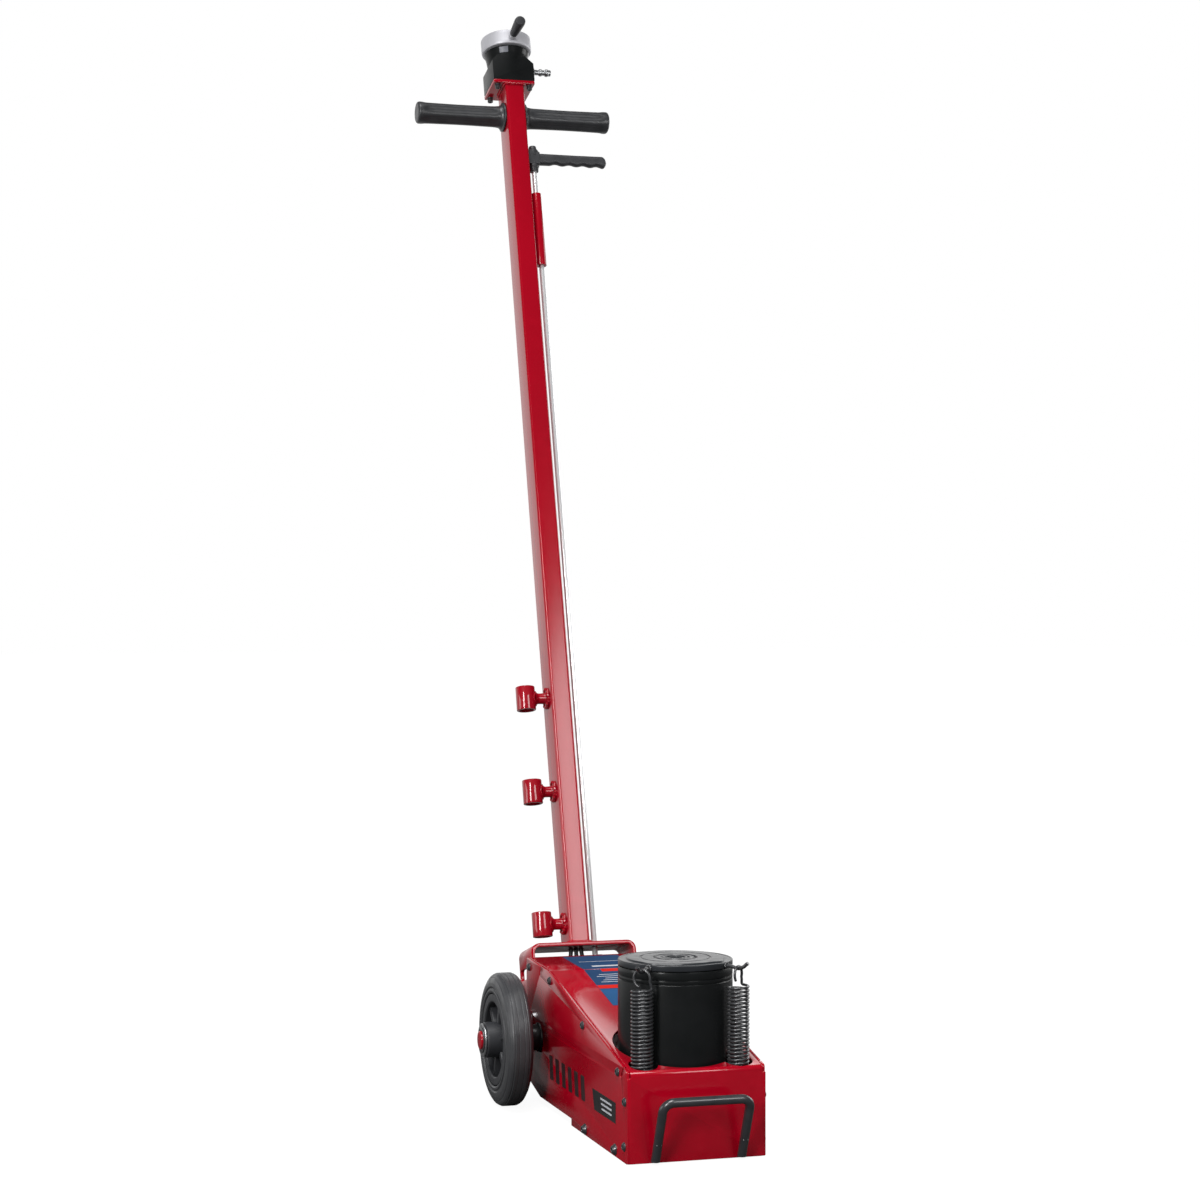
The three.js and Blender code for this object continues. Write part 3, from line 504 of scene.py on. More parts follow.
def side_panels():
    """Both side plates. The cover's front wall laps over their front edges."""
    front = FRONT_Y + SHEET_T + 0.02
    brow = REAR_Z - 1.9
    outline = [(front, 0, 1), (BASE_END, 0, 1), (BASE_END, 9, 1), (315, 9, 6), (365, 21, 10)]
    outline += [(REAR_Y, 26.5, 9), (REAR_Y, REAR_Z, 2.5)]
    outline += [(316, brow, 0.5), (318, 174, 1.2), (315, 174, 1.2), (313, brow, 0.5)]
    outline += [(*FOLD, 20), (-66.5, slope_z(-66.5), 0.5)]
    outline += [(-56.5, 103.8, 1.2), (-59, 102, 1.2), (-69.5, slope_z(-69.5), 0.5)]
    outline = rounded([*outline, (front, slope_z(front), 4)], 0)
    holes = [ring(*AXLE[1:], AXLE_R + GAP), ring(*PIVOT[1:], PIVOT_R + GAP)]
    for side, x in (("left", -SIDE_X), ("right", SIDE_X - SIDE_T)):
        panel = prism(outline, x, x + SIDE_T, "x", holes, edge=0.45)
        piece(f"side_panel_{side}", [panel], "red_paint", "chassis", [f"side_plate_{side}"])


def cover_line(offset):
    """The cover's section, offset inwards from its outer face."""
    slant = math.atan(SLOPE)
    drop = offset / math.cos(slant)
    return [
        (FRONT_Y + offset, 0.5, 0),
        (FRONT_Y + offset, slope_z(FRONT_Y + offset) - drop, max(FOLD_R - offset, 1)),
        (FOLD[0], FOLD[1] - drop, 12),
        (REAR_Y, REAR_Z - offset, 0),
    ]


def cover():
    outer = rounded(cover_line(0), 0, closed=False, steps=6)
    inner = rounded(cover_line(SHEET_T), 0, closed=False, steps=6)
    sheet = prism(outer + inner[::-1], -COVER_X, COVER_X, "x", edge=0.7)
    obj = mesh_object("cover_sheet", [sheet])
    lap = prism(rectangle(0.5, LAP_Z, -SIDE_X, SIDE_X, 1.5), FRONT_Y, FRONT_Y + SHEET_T, "y", edge=0.6)
    boolean(obj, [lap], "UNION")
    boolean(obj, [rod(BARREL_HOLE_R, 60, 200, 0, FINE)], "DIFFERENCE")
    for x, y in LOBES:
        boolean(obj, [shifted(rod(LOBE_R, 60, 200, 0), x, y)], "DIFFERENCE")
    soften(obj, 0.5, 50)
    dress(obj, "red_paint", "chassis", ["top_cover"])
    over = [(-83, 22), (-83, 104.5), (FOLD[0], FOLD[1] - 3.5), (REAR_Y - 4, REAR_Z - 3.5)]
    under = [(REAR_Y - 4, REAR_Z - 20), (FOLD[0], FOLD[1] - 20), (-62, 92), (-62, 22)]
    flange = rounded(over + under, 1.5)
    flanges = [prism(flange, x, x + SHEET_T, "x", edge=0.5) for x in (-COVER_X, COVER_X - SHEET_T)]
    piece("cover_flanges", flanges, "red_paint", "chassis")


def base_slab():
    front = FRONT_Y + SHEET_T + GAP
    slab = prism(rectangle(-COVER_X, COVER_X, front, BASE_END, 4), 0, BASE_T, edge=1.2)
    piece("base_slab", [slab], "red_paint", "chassis", ["base_plate"])


def button_screw(r=5.7, height=3.2):
    """A dome-headed screw with a socket, its head facing +Z from 0."""
    socket = r * 0.36
    profile = [(0, -0.4), (r, -0.4), (r, 0.7), (r * 0.62, height), (socket, height), (socket, 0.9), (0, 0.9)]
    return turned(rounded(profile, 0.5, closed=False, steps=3), COARSE)


# (y, z) on each side plate
SCREWS = [(371, 179), (265, 175), (107, 140), (-46, 107), (-75, 75), (-73, 20)]
BOLTS = [(96, 8), (-35, 9)]


def side_fasteners():
    for side, sign in SIDES:
        outwards = Matrix.Rotation(sign * math.pi / 2, 4, "Y")
        screws, bolts = [], []
        for y, z in SCREWS:
            screws.append(moved(button_screw(), Matrix.Translation((sign * SIDE_X, y, z)) @ outwards))
        for y, z in BOLTS:
            place = Matrix.Translation((sign * SIDE_X, y, z)) @ outwards
            bolts.append(moved(button_screw(6.8, 5.2), place))
            bolts.append(moved(tube(3, 7.2, -0.3, 1.2, 0.3, COARSE), place))
        piece(f"side_screws_{side}", screws, "black_steel", "chassis")
        piece(f"foot_bolts_{side}", bolts, "black_steel", "chassis")


def bead(path, size, closed=True, ripple=2.6):
    """A weld bead: a rippled bar along a line."""
    pts = [Vector(p) for p in path]
    travelled, radii = 0.0, []
    for i, p in enumerate(pts):
        if i:
            travelled += (p - pts[i - 1]).length
        radii.append(size * (1 + 0.16 * math.sin(TAU * travelled / ripple)))
    return swept(pts, radii, 10, closed)


def dense(points, step=0.65, closed=True):
    """A line's points, at most step apart."""
    pts = [Vector(p) for p in points]
    if closed:
        pts.append(pts[0])
    out = []
    for a, b in zip(pts, pts[1:]):
        count = max(1, int((b - a).length / step))
        out += [a.lerp(b, k / count) for k in range(count)]
    return out if closed else [*out, pts[-1]]


def front_handle():
    lean = math.radians(23.5)
    half, length, bend, thick = 56, 85, 13, 5.8
    foot = Vector((0, FRONT_Y - thick - 0.3, 3))
    up = Vector((0, -math.sin(lean), math.cos(lean)))
    corners = [(-half, 0), (-half, length, bend), (half, length, bend), (half, 0)]
    flat = rounded(corners, 0, closed=False, steps=12)
    path = [foot + up * along + Vector((x, 0, 0)) for x, along in flat]
    path = [path[0] - up * 12, *path, path[-1] - up * 12]
    obj = mesh_object("handle_bar", [swept(dense(path, 4, closed=False), thick, 28)])
    boolean(obj, [cutter(rectangle(-70, 70, -135, FRONT_Y - 0.1), 3, 120)], "INTERSECT")
    dress(obj, "handle_paint", "chassis", ["front_handle"])
    marks = []
    for x in (-half, half):
        centre = foot + up * 24 + Vector((x, -5.3, 1.4))
        marks.append(shifted(rod(1.1, -3.6, 3.6, 0.5, COARSE, "x"), *centre))
    piece("handle_marks", marks, "zinc_steel", "chassis")


# ---------- hydraulic unit ----------
SPRING_TURN = {"left": math.radians(45.5), "right": math.radians(42)}
SPRING_RING = 90
BARREL_LOW, BARREL_TOP = 46.3, 214
HEAD_TOP, HEAD_BORE = 229.5, 47.6
WIPER_SEAT, WIPER_Z = 52.6, 223
RAM_R, PISTON_R, GROOVE_R = 47, 49, 45
GROOVE_LOW, GROOVE_HIGH = 67, 77
LID_TOP, LID_RIM, LID_BOTTOM = 239.5, 238, 230.3


def barrel():
    wall = [(67.5, BARREL_LOW), (72.5, BARREL_LOW), (72.5, 213.0), (71.7, 213.7)]
    wall += [(71.7, BARREL_TOP), (67.5, BARREL_TOP)]
    foot_bead = bead([(x, y, 47.6) for x, y in ring(0, 0, 73.1, 700)], 1.5)
    parts = [turned(rounded(wall, 0.4, steps=3), FINE), foot_bead]
    piece("barrel_shell", parts, "black_paint", "chassis", ["reservoir_tube"])
    head = [(HEAD_BORE, BARREL_TOP + GAP, 0), (72.4, BARREL_TOP + GAP), (72.4, 218.6), (71.6, 218.8)]
    head += [(71.6, 219.4), (72.5, 219.6), (72.5, HEAD_TOP), (WIPER_SEAT, HEAD_TOP, 0)]
    head += [(WIPER_SEAT, WIPER_Z, 0), (HEAD_BORE, WIPER_Z, 0)]
    head = rounded(head, 0.35, steps=2)
    piece("head_ring", [turned(head, FINE)], "black_paint", "chassis", ["cylinder_head"])


def ram():
    """The ram with its piston ring, and the liner and wiper that it slides in."""
    top = LID_BOTTOM - GAP
    profile = [(0, 60), (PISTON_R, 60), (PISTON_R, GROOVE_LOW), (GROOVE_R, GROOVE_LOW)]
    profile += [(GROOVE_R, GROOVE_HIGH), (PISTON_R, GROOVE_HIGH), (PISTON_R, 84), (RAM_R, 84)]
    profile = rounded([*profile, (RAM_R, top), (0, top)], 0.5, closed=False, steps=2)
    piece("ram_column", [turned(profile, FINE)], "chrome_steel", "ram", ["ram_piston"])
    packing = tube(GROOVE_R + GAP, PISTON_R, GROOVE_LOW + GAP, GROOVE_HIGH - GAP, 0.4, FINE)
    piece("piston_ring", [packing], "seal_rubber", "ram", ["piston_seal"])
    liner = tube(PISTON_R + GAP, 59, BARREL_LOW, BARREL_TOP, 0.4, FINE)
    piece("cylinder_liner", [liner], "black_steel", "chassis", ["pressure_cylinder"])
    wiper = tube(RAM_R + GAP, WIPER_SEAT - GAP, WIPER_Z + GAP, HEAD_TOP, 0.4, FINE)
    piece("wiper_ring", [wiper], "seal_rubber", "chassis", ["wiper_seal"])


def lid():
    """The saddle lid: a rounded rim, a raised face that bulges to each hook, and turned rings."""
    top, rim = LID_TOP, LID_RIM

    def groove(r, depth, half):
        floor = top - depth
        return [(r - half, top), (r - half / 2, floor), (r + half / 2, floor), (r + half, top)]

    def bulge(r, h, a):
        if not 60 < r < 65:
            return r, h
        forward = (a + math.pi / 2 + math.pi) % TAU - math.pi
        off = min(abs(forward - SPRING_TURN["right"]), abs(forward + SPRING_TURN["left"]))
        return r + 6.6 * math.exp(-((off / 0.16) ** 2)), h

    socket = [(0, top - 8), (12.5, top - 8), (12.5, top - 0.9), (13.4, top)]
    profile = socket + groove(17.4, 1.2, 1.8) + groove(26, 1.8, 2.6) + groove(44, 1.0, 1.5)
    face_edge = [(50, top), (61.2, top, 0.8), (62.6, rim - 0.4, 0.7), (69.4, rim - 0.4, 0.6)]
    profile += rounded(face_edge, 0, closed=False)[1:]
    rim_edge = [(69.5, rim - 0.4), (69.9, rim, 0.3), (72.5, rim, 2.4)]
    rim_edge += [(72.5, LID_BOTTOM, 1.2), (68, LID_BOTTOM)]
    profile += rounded(rim_edge, 0, closed=False, steps=5)[1:]
    profile += [(0, LID_BOTTOM)]
    disc = turned(profile, 180, warp=bulge)
    piece("lid_disc", [disc], "grey_paint", "ram", ["saddle_lid"], smooth_angle=28)
    liner = tube(8.4, 12.4, top - 7.9, top - 1.2, 0.5)
    piece("lid_socket", [liner], "grey_paint", "ram")
    screw = prism(ring(0, 0, 6.2, 6), top - 7.9, top - 2.6, edge=0.8)
    piece("lid_screw", [screw], "zinc_steel", "ram")


def spring_path(at, hook_turn):
    """A spring's wire: its lower hook, the coil, and an upper loop that hangs on the lid's rod."""
    coil_r, pitch, bottom, top = 12.6, 4.66, 52, 210
    loop_r, loop_z = 10.9, 223.4
    turns = (top - bottom) / pitch
    count = int(turns * 28)
    start = math.pi / 2 - TAU * (turns % 1)
    path = [at(0, 1.5, 43), at(1.5, 4, 46), at(5, 7, 49.5)]
    for i in range(count + 1):
        a = start + TAU * turns * i / count
        path.append(at(coil_r * math.cos(a), coil_r * math.sin(a), bottom + (top - bottom) * i / count))
    path += smooth([path[-1], at(-1.6, coil_r - 0.2, top + 1.6), at(-1.2, loop_r + 0.6, loop_z - 6)], 5)[1:]
    first = -0.32
    for k in range(40):
        share = k / 39
        a = first + share * (hook_turn - first)
        path.append(at(2.4 * share - 1.0, loop_r * math.cos(a), loop_z + loop_r * math.sin(a)))
    return path


def springs():
    for side, sign, hook_turn in (("left", -1, 4.45), ("right", 1, 3.75)):
        turn = SPRING_TURN[side]
        out = Vector((sign * math.sin(turn), -math.cos(turn), 0))
        across = Vector((-out.y, out.x, 0))

        def at(r, t, z, out=out, across=across):
            return out * (SPRING_RING + r) + across * t + Vector((0, 0, z))

        start, end = at(0, 0, 60) * MM, at(0, 0, 210.5) * MM
        body = ("chassis", "ram", tuple(start), tuple(end))
        helix = swept(spring_path(at, hook_turn), 1.7, 10)
        nodes = [f"return_spring_{side}"]
        piece(f"spring_coil_{side}", [helix], "black_steel", body, nodes, smooth_angle=60)

        line = [(69, 234.2), (72.9, 234.3), (80, 233.6), (90, 231.5), (97, 233.6), (101, 236.8), (104, 239)]
        hook = [out * r + Vector((0, 0, z)) for r, z in line]
        parts = [swept(smooth(hook, 6), 2.4, 14)]
        parts.append(bead([at(-16.5, t, z) for t, z in ring(0, 234.2, 3.2, 60)], 1.3))
        piece(f"hook_rod_{side}", parts, "black_steel", "ram", [f"spring_hook_{side}"])


# ---------- wheels and axle ----------
WHEEL_X = 137.4
HUB_HALF = 31


def mirrored(half):
    """A half profile of (r, x, own radius) with its mirror image, as one closed line of points."""
    return rounded(half + [(r, -x, own) for r, x, own in reversed(half)], 0, steps=4)


def tyre_profile():
    """From the bead out: sidewall ridge and groove, stepped shoulder, and two lines on the crown."""
    sidewall = [(62.9, 17.2, 0.6), (63.3, 18.2, 0.6), (65.0, 19.0, 0.9), (67.4, 19.0, 0.9)]
    sidewall += [(68.6, 17.2, 0.7), (70.2, 17.2, 0.7), (71.6, 18.6, 1.2), (77.0, 18.2, 4)]
    shoulder = [(82.0, 17.0, 3), (83.6, 15.4, 0.7), (84.6, 15.4, 0.7), (87.2, 13.6, 2), (89.0, 10.9, 0.8)]
    crown = [(88.5, 9.7, 0.5), (89.9, 9.0, 0.8), (90.0, 4.4, 0.5), (89.4, 3.9, 0.3), (90.0, 3.4, 0.5)]
    return mirrored(sidewall + shoulder + crown)


def rim_profile():
    lip = [(51.5, 5, 2), (50.5, 16.2, 1.2), (52.0, 17.8, 0.8), (61.0, 17.8, 0.8), (62.2, 16.2, 0.5)]
    return mirrored(lip)


def hub_profile():
    return mirrored([(16.3, HUB_HALF, 0.4), (22.6, HUB_HALF, 1.0), (24, 29.4, 1.2), (24, 5, 2.5)])


def wheels():
    bore = AXLE_R + GAP
    centred = Matrix.Translation(AXLE)
    for side, sign in SIDES:
        body = f"wheel_{side}"
        hub = Matrix.Translation((sign * WHEEL_X, AXLE[1], AXLE[2]))
        tread = turned(tyre_profile(), 128, "x")
        piece(f"tyre_ring_{side}", [tread], "tyre_rubber", body, [f"tyre_{side}"], hub, smooth_angle=40)
        parts = [turned(rim_profile(), FINE, "x"), turned(hub_profile(), 64, "x")]
        parts.append(tube(22, 53, -5, 5, 0.8, FINE, "x"))
        rib = prism(rectangle(-4.2, 4.2, 22, 52.5, 0.6), -13.5, 13.5, "x", edge=1.8)
        for i in range(6):
            parts.append(moved(rib, Matrix.Rotation(TAU * i / 6 + 0.26, 4, "X")))
        piece(f"rim_{side}", parts, "black_plastic", body, [f"wheel_rim_{side}"], hub)
        bush = tube(bore, 16, -HUB_HALF, HUB_HALF, 0.4, ROUND, "x")
        piece(f"bush_{side}", [bush], "zinc_steel", body, [f"wheel_bush_{side}"], hub)
        face = sign * (WHEEL_X + HUB_HALF + GAP)
        ends = sorted((face, face + sign * 2.5))
        washer = moved(tube(bore, 22.5, *ends, 0.7, ROUND, "x"), centred)
        piece(f"washer_{side}", [washer], "zinc_steel", "chassis", [f"axle_washer_{side}"])
        clip_ends = sorted((face + sign * 2.4, face + sign * 3.8))
        start, end = 0.35, TAU - 0.35
        outline = arc(17.4, start, end, 48) + arc(12.7, start, end, 48)[::-1]
        clip = prism(outline, *clip_ends, "x", edge=0.4)
        piece(f"circlip_{side}", [moved(clip, centred)], "black_steel", "chassis")


def axle():
    half = [(AXLE_R, 104), (AXLE_R, 174.9, 1.6), (0, 174.9)]
    bar = shifted(turned(rounded(doubled(half), 0.6, closed=False), ROUND, "x"), *AXLE)
    piece("axle_bar", [bar], "red_paint", "chassis", ["axle"])
    collars = []
    for sign in (-1, 1):
        ends = sorted((sign * 90.3, sign * 105.9))
        collars.append(shifted(tube(AXLE_R, 18, *ends, 1.2, ROUND, "x"), *AXLE))
        turns = [TAU * k / 200 for k in range(200)]
        line = [(sign * 91.2, AXLE[1] + 18.4 * math.sin(a), AXLE[2] + 18.4 * math.cos(a)) for a in turns]
        collars.append(bead(line, 1.8))
    piece("axle_collars", collars, "black_paint", "chassis")


def pivot():
    half = [(PIVOT_R, 90.3), (14, 90.3), (14, 96, 1.2), (0, 96)]
    bar = turned(rounded(doubled(half), 0.4, closed=False), ROUND, "x")
    piece("pivot_bar", [bar], "zinc_steel", "chassis", ["mast_pivot_shaft"], Matrix.Translation(PIVOT))


# ---------- mast ----------
ROD = (25.5, 48.4)
MAST_TUBE = (15, 31.4, 81.4)  # half width, front and rear
MAST_TOP = 1454.4
VALVE_U = 65


def bracket():
    """A folded yoke: a channel cut to its side view, with a slot in each cheek."""
    half, t, top, bend = 77.2, 5, 109.7, 12.7

    def fold(offset):
        a, b, r = top - offset, half - offset, bend - offset
        return rounded([(-30, -b, 0), (a, -b, r), (a, b, r), (-30, b, 0)], 0, steps=8)

    obj = mesh_object("bracket_yoke", [cutter(fold(0) + fold(t)[::-1], -40, 92, "y")], MAST)
    boss = [(22 * math.sin(a), 22 * math.cos(a)) for a in (math.radians(d) for d in range(136, 316, 6))]
    side = [(16, top + 5), (86, top + 5), (86, 48), *boss, (16, 60)]
    boolean(obj, [cutter(side, -half - 1, half + 1, "x")], "INTERSECT", MAST)
    through, above, below = half + 2, top + 2, top - t - 2
    holes = [
        cutter(rectangle(46, 81, 64, 80, 5), -through, through, "x"),
        rod(PIVOT_R + 0.4, -through, through, 0, ROUND, "x"),
        cutter(rectangle(-11.9, 11.9, 50.5, 62.3, 4), below, above),  # hoses
        shifted(rod(5.2, below, above, 0, COARSE), *ROD),
    ]
    for hole in holes:
        boolean(obj, [hole], "DIFFERENCE", MAST)
    soften(obj, 0.8, 40)
    dress(obj, "red_paint", "mast", ["mast_bracket"])


def mast_tube():
    half, front, rear = MAST_TUBE
    outline = rectangle(-half, half, front, rear, 4, 6)
    hollow = rectangle(-half + 3, half - 3, front + 3, rear - 3, 1.5, 3)
    column = prism(outline, 110, MAST_TOP, "z", [hollow], edge=0.3, steps=1)
    piece("mast_column", [column], "red_paint", "mast", ["mast_tube"], MAST, smooth_angle=25)
    welds = []
    for v, out, size in ((111.2, 1, 2.3), (MAST_TOP - 1.5, 0.8, 1.7)):
        line = rectangle(-half - out, half + out, front - out, rear + out, 5)
        welds.append(bead(dense([(x, u, v) for x, u in line]), size))
    piece("mast_welds", welds, "red_paint", "mast", (), MAST, 60)


def tbar():
    v, u = 1406.7, 56.4
    start, end, grip_r = 24, 146, 17  # the fluted part of a grip
    bar = shifted(tube(10, 13, -150, 150, 0.5, ROUND, "x"), 0, u, v)
    piece("tbar_tube", [bar], "red_paint", "mast", ["crossbar_tube"], MAST)

    def flutes(r, h, a):
        """Six long scooped hollows between soft ribs."""
        if r < 16 or not start < h < end:
            return r, h
        ends = min(1.0, (h - start) / 16, (end - h) / 16)
        wave = (0.5 + 0.5 * math.cos(6 * a)) ** 1.5
        waist = math.sin(math.pi * (h - start) / (end - start)) ** 2
        return r - (2.0 * wave * math.sin(ends * math.pi / 2) + 0.5 * waist), h

    profile = [(0, 150.6), (13.3, 150.6), (13.3, 15.6)]
    collar = [(13.3, 15.6, 0), (22.5, 15.6, 1.0), (22.5, 18.0, 1.0), (19.4, 19.2, 1.5), (grip_r, 23, 3)]
    profile += rounded(collar, 0, False)[1:]
    profile += [(grip_r, start + (end - start) * k / 40) for k in range(41)]
    profile += rounded([(grip_r, end), (grip_r, 154, 4.5), (0, 154)], 0, closed=False, steps=8)[1:]
    grip = turned(profile, FINE, "x", flutes)
    for side, turn in (("left", math.pi), ("right", 0)):
        place = MAST @ Matrix.Translation((0, u, v)) @ Matrix.Rotation(turn, 4, "Z")
        piece(f"grip_sleeve_{side}", [grip], "soft_rubber", "mast", [f"grip_{side}"], place, 40)


def head_block():
    plate = prism(rectangle(-33, 33, 31.4, 96, 2), 1454.7, 1459.7, "z", edge=0.7)
    piece("head_flange", [plate], "red_paint", "mast", ["head_plate"], MAST)
    shank = rounded([(0, 0.5), (4.3, 0.5), (4.3, 7), (2.3, 7), (2.3, 4), (0, 4)], 0.4, False)
    bolts = []
    for x in (-25.5, 25.5):
        for u in (39.5, 88.5):
            down = Matrix.Translation((x, u, 1454.7)) @ Matrix.Rotation(math.pi, 4, "X")
            bolts.append(moved(tube(2.2, 5.0, -0.2, 1.0, 0.2, COARSE), down))
            bolts.append(moved(turned(shank, COARSE), down))
    piece("flange_bolts", bolts, "black_steel", "mast", (), MAST)

    low, top, half, front, rear = 1460, 1502, 33, 32, 94
    face_on = [(low, -half), (low, half), (top - 12, half), (top - 3, half - 10)]
    face_on += [(top, half - 15), (top, 8 - half), (top - 9, -half)]
    block = cutter(rounded(face_on, 1.2), front - 0.1, rear + 0.1, "y")
    obj = mesh_object("valve_block", [block], MAST)
    side_on = [(front, low - 1), (rear, low - 1), (rear, top + 0.5, 15), (front, top + 0.5)]
    side_on = rounded(side_on, 0, steps=10)
    boolean(obj, [cutter(side_on, -half - 1, half + 1, "x")], "INTERSECT", MAST)
    soften(obj, 1.1, 30, 3)
    dress(obj, "black_paint", "mast", ["valve_body"])
    neck = [(0, 1494), (31, 1494, 0), (33, 1509.1, 6), (35, 1517.6, 0.6), (35, 1519.1, 0.3), (0, 1519.1)]
    neck = rounded(neck, 0, False)
    piece("valve_neck", [shifted(turned(neck, FINE), 0, VALVE_U)], "black_paint", "mast", (), MAST)
    # A thin raised grey patch on the front of the neck: a painted reflection of a soft box.
    turns = [math.radians(d) for d in range(191, 215)]
    levels = ((1507.6, 0.0), (1508.2, 0.7), (1517.0, 0.7), (1517.6, 0.0))
    reflection_patch = []
    for v, proud in levels:
        r = 32.8 + (v - 1509.1) * 0.24 + proud
        outside = [(r * math.sin(a), VALVE_U + r * math.cos(a), v) for a in turns]
        inside = [(x * 0.94, VALVE_U + (u - VALVE_U) * 0.94, v) for x, u, v in reversed(outside)]
        reflection_patch.append(outside + inside)
    piece("neck_reflection_patch", [lofted(reflection_patch)], "reflection_grey", "mast", (), MAST)

    plug = [(0, 33.0), (7.2, 33.0, 0.4), (7.2, 36.6, 0.8), (4.4, 37.4, 0.5), (4.1, 44.6, 0.5)]
    plug += [(5.6, 46.4, 0.5), (5.6, 49.4, 0.5), (4.3, 50.6, 0.5), (4.3, 54.6, 0.5)]
    plug += [(5.9, 56.0, 0.6), (5.9, 59.2, 0.6), (4.9, 60.2, 0.4), (4.9, 64.0, 0.5)]
    plug += [(1.9, 64.0, 0.2), (1.9, 48, 0), (0, 48)]
    fitting = shifted(turned(rounded(plug, 0, closed=False, steps=3), ROUND, "x"), 0, 48, 1483)
    piece("inlet_plug", [fitting], "zinc_steel", "mast", ["air_inlet_plug"], MAST)


def control():
    """The control ring, with faint turned lines, and the handle that points forwards from its rim."""
    low, high, r = 1521.0, 1543.8, 39.2
    profile = [(0, low)] + rounded([(30, low), (r - 0.6, low, 1.6), (r - 0.2, low + 3)], 0, False)[1:]
    for k in range(8):
        v = low + 4 + k * 1.9
        profile += [(r, v), (r - 0.04, v + 0.5)]
    rim = [(r, high - 3), (r, high, 2.0), (r - 6, high, 0.6), (r - 7.2, high - 1.5, 0.6), (20, high - 1.5)]
    profile += rounded(rim, 0, False)[1:]
    profile += [(8, high - 1.5), (7, high - 2.2), (0, high - 2.2)]
    knob_v = (low + high) / 2 - 1.5
    forwards = Matrix.Translation((0, VALVE_U, knob_v)) @ Matrix.Rotation(math.pi / 2, 4, "X")
    ferrule = rounded([(0, 34), (4.8, 34), (4.8, 40.0), (6.2, 41.0), (6.2, 47.6), (0, 47.6)], 0.6, False, 3)
    parts = [shifted(turned(profile, 144), 0, VALVE_U), moved(turned(ferrule, ROUND), forwards)]
    piece("control_drum", parts, "machined_aluminium", "control", ["control_ring"], MAST, 50)
    start = 48
    grip = [(0, start), (6.0, start), (6.5, start + 5), (8.3, start + 35), (8.5, start + 40)]
    grip += [(7.7, start + 45), (0, start + 45.3)]
    parts = [moved(turned(rounded(grip, 2.4, closed=False, steps=6), ROUND), forwards)]
    for k in range(4):
        along = 11 + k * 7.5
        collar = 6.5 + (along - 5) * 1.8 / 30
        parts.append(moved(tube(3, collar + 0.25, start + along, start + along + 1.1, 0.3, ROUND), forwards))
    piece("control_handle", parts, "black_plastic", "control", ["control_knob"], MAST, 40)


# ---------- mast lock ----------
def lock():
    bar = shifted(rod(4, 85.3, 1330, 0.8, COARSE), *ROD)
    piece("lock_bar", [bar], "chrome_steel", "lock", ["lock_rod"], MAST)

    low, high, end_t = 1155, 1274.6, 4
    outside = [(4.4, low), (8, low), (8, high), (4.4, high)]
    inside = [(4.4, high - end_t, 0), (6, high - end_t, 0), (6, low + end_t, 0), (4.4, low + end_t, 0)]
    parts = [shifted(turned(rounded(outside + inside, 0.6, steps=3), ROUND), *ROD)]
    for v in (1177, 1252.6):
        parts.append(prism(rectangle(15.1, 19.5, 45.9, 50.9, 0.8), v - 6, v + 6, "z", edge=0.6))
        for u in (45.4, 51.4):
            for x in (15.9, 18.6):
                parts.append(bead(dense([(x, u, v - 6), (x, u, v + 6)], closed=False), 1.1, False))
    piece("guide_sleeve", parts, "red_paint", "mast", ["rod_guide_tube"], MAST)


def hand_lever():
    """A squarish blade with finger grooves, its block on the rod, and a crown and skirt round it."""
    v0, u0, end = 1334, ROD[1], 143
    sections = []
    stations = 90
    for k in range(stations + 1):
        share = k / stations
        x = 31.5 + share * (end - 31.5)
        left = (end - x) / 7
        tip = 1.0 if left > 1 else math.sqrt(max(0.02, 1 - (1 - left) ** 2))
        grooves = 0.5 - 0.5 * math.cos(TAU * (x - 50) / 22.5) if 50 < x < 140 else 0
        top = v0 + 8.6
        low = v0 - 7.0 - 2.2 * (1 - grooves) - (1.4 if x > 128 else 0) * (x - 128) / 15
        middle = (top + low) / 2 - (1 - tip) * 1.2
        tall = (top - low) / 2 * tip
        wide = (6.6 - 0.9 * math.sin(math.pi * share) ** 2) * (0.35 + 0.65 * tip)
        ring_points = []
        for i in range(32):
            a = TAU * i / 32
            c, s = math.cos(a), math.sin(a)
            shape = (abs(c) ** 3.2 + abs(s) ** 3.2) ** (-1 / 3.2)
            ring_points.append((x, u0 + wide * c * shape, middle + tall * s * shape))
        sections.append(ring_points)
    blade = lofted(sections)
    side_on = [(-11, 15.9), (-11, 34.5), (9.5, 34.5), (9.5, 29.5), (13, 24.5), (13, 15.9)]
    side_on = rounded([(v0 + dv, x) for dv, x in side_on], 1.5)
    block = prism(side_on, u0 - 8.5, u0 + 8.5, "y", edge=1.4, steps=3)
    crown = [(4.3, 4), (9.0, 4), (9.0, 12), (6.4, 16), (5.4, 20.6), (4.0, 21), (0, 21)]
    crown = [(0, v0 + 4), *rounded([(r, v0 + dv) for r, dv in crown], 1.0, closed=False)]
    skirt = [(4.3, -22), (6.6, -22), (7.2, -16), (8.6, -13), (8.6, -6), (4.3, -6)]
    skirt = rounded([(r, v0 + dv) for r, dv in skirt], 0.6)
    parts = [blade, block, shifted(turned(crown, ROUND), *ROD), shifted(turned(skirt, ROUND), *ROD)]
    piece("hand_lever", parts, "black_plastic", "lock", ["lock_lever"], MAST, 40)


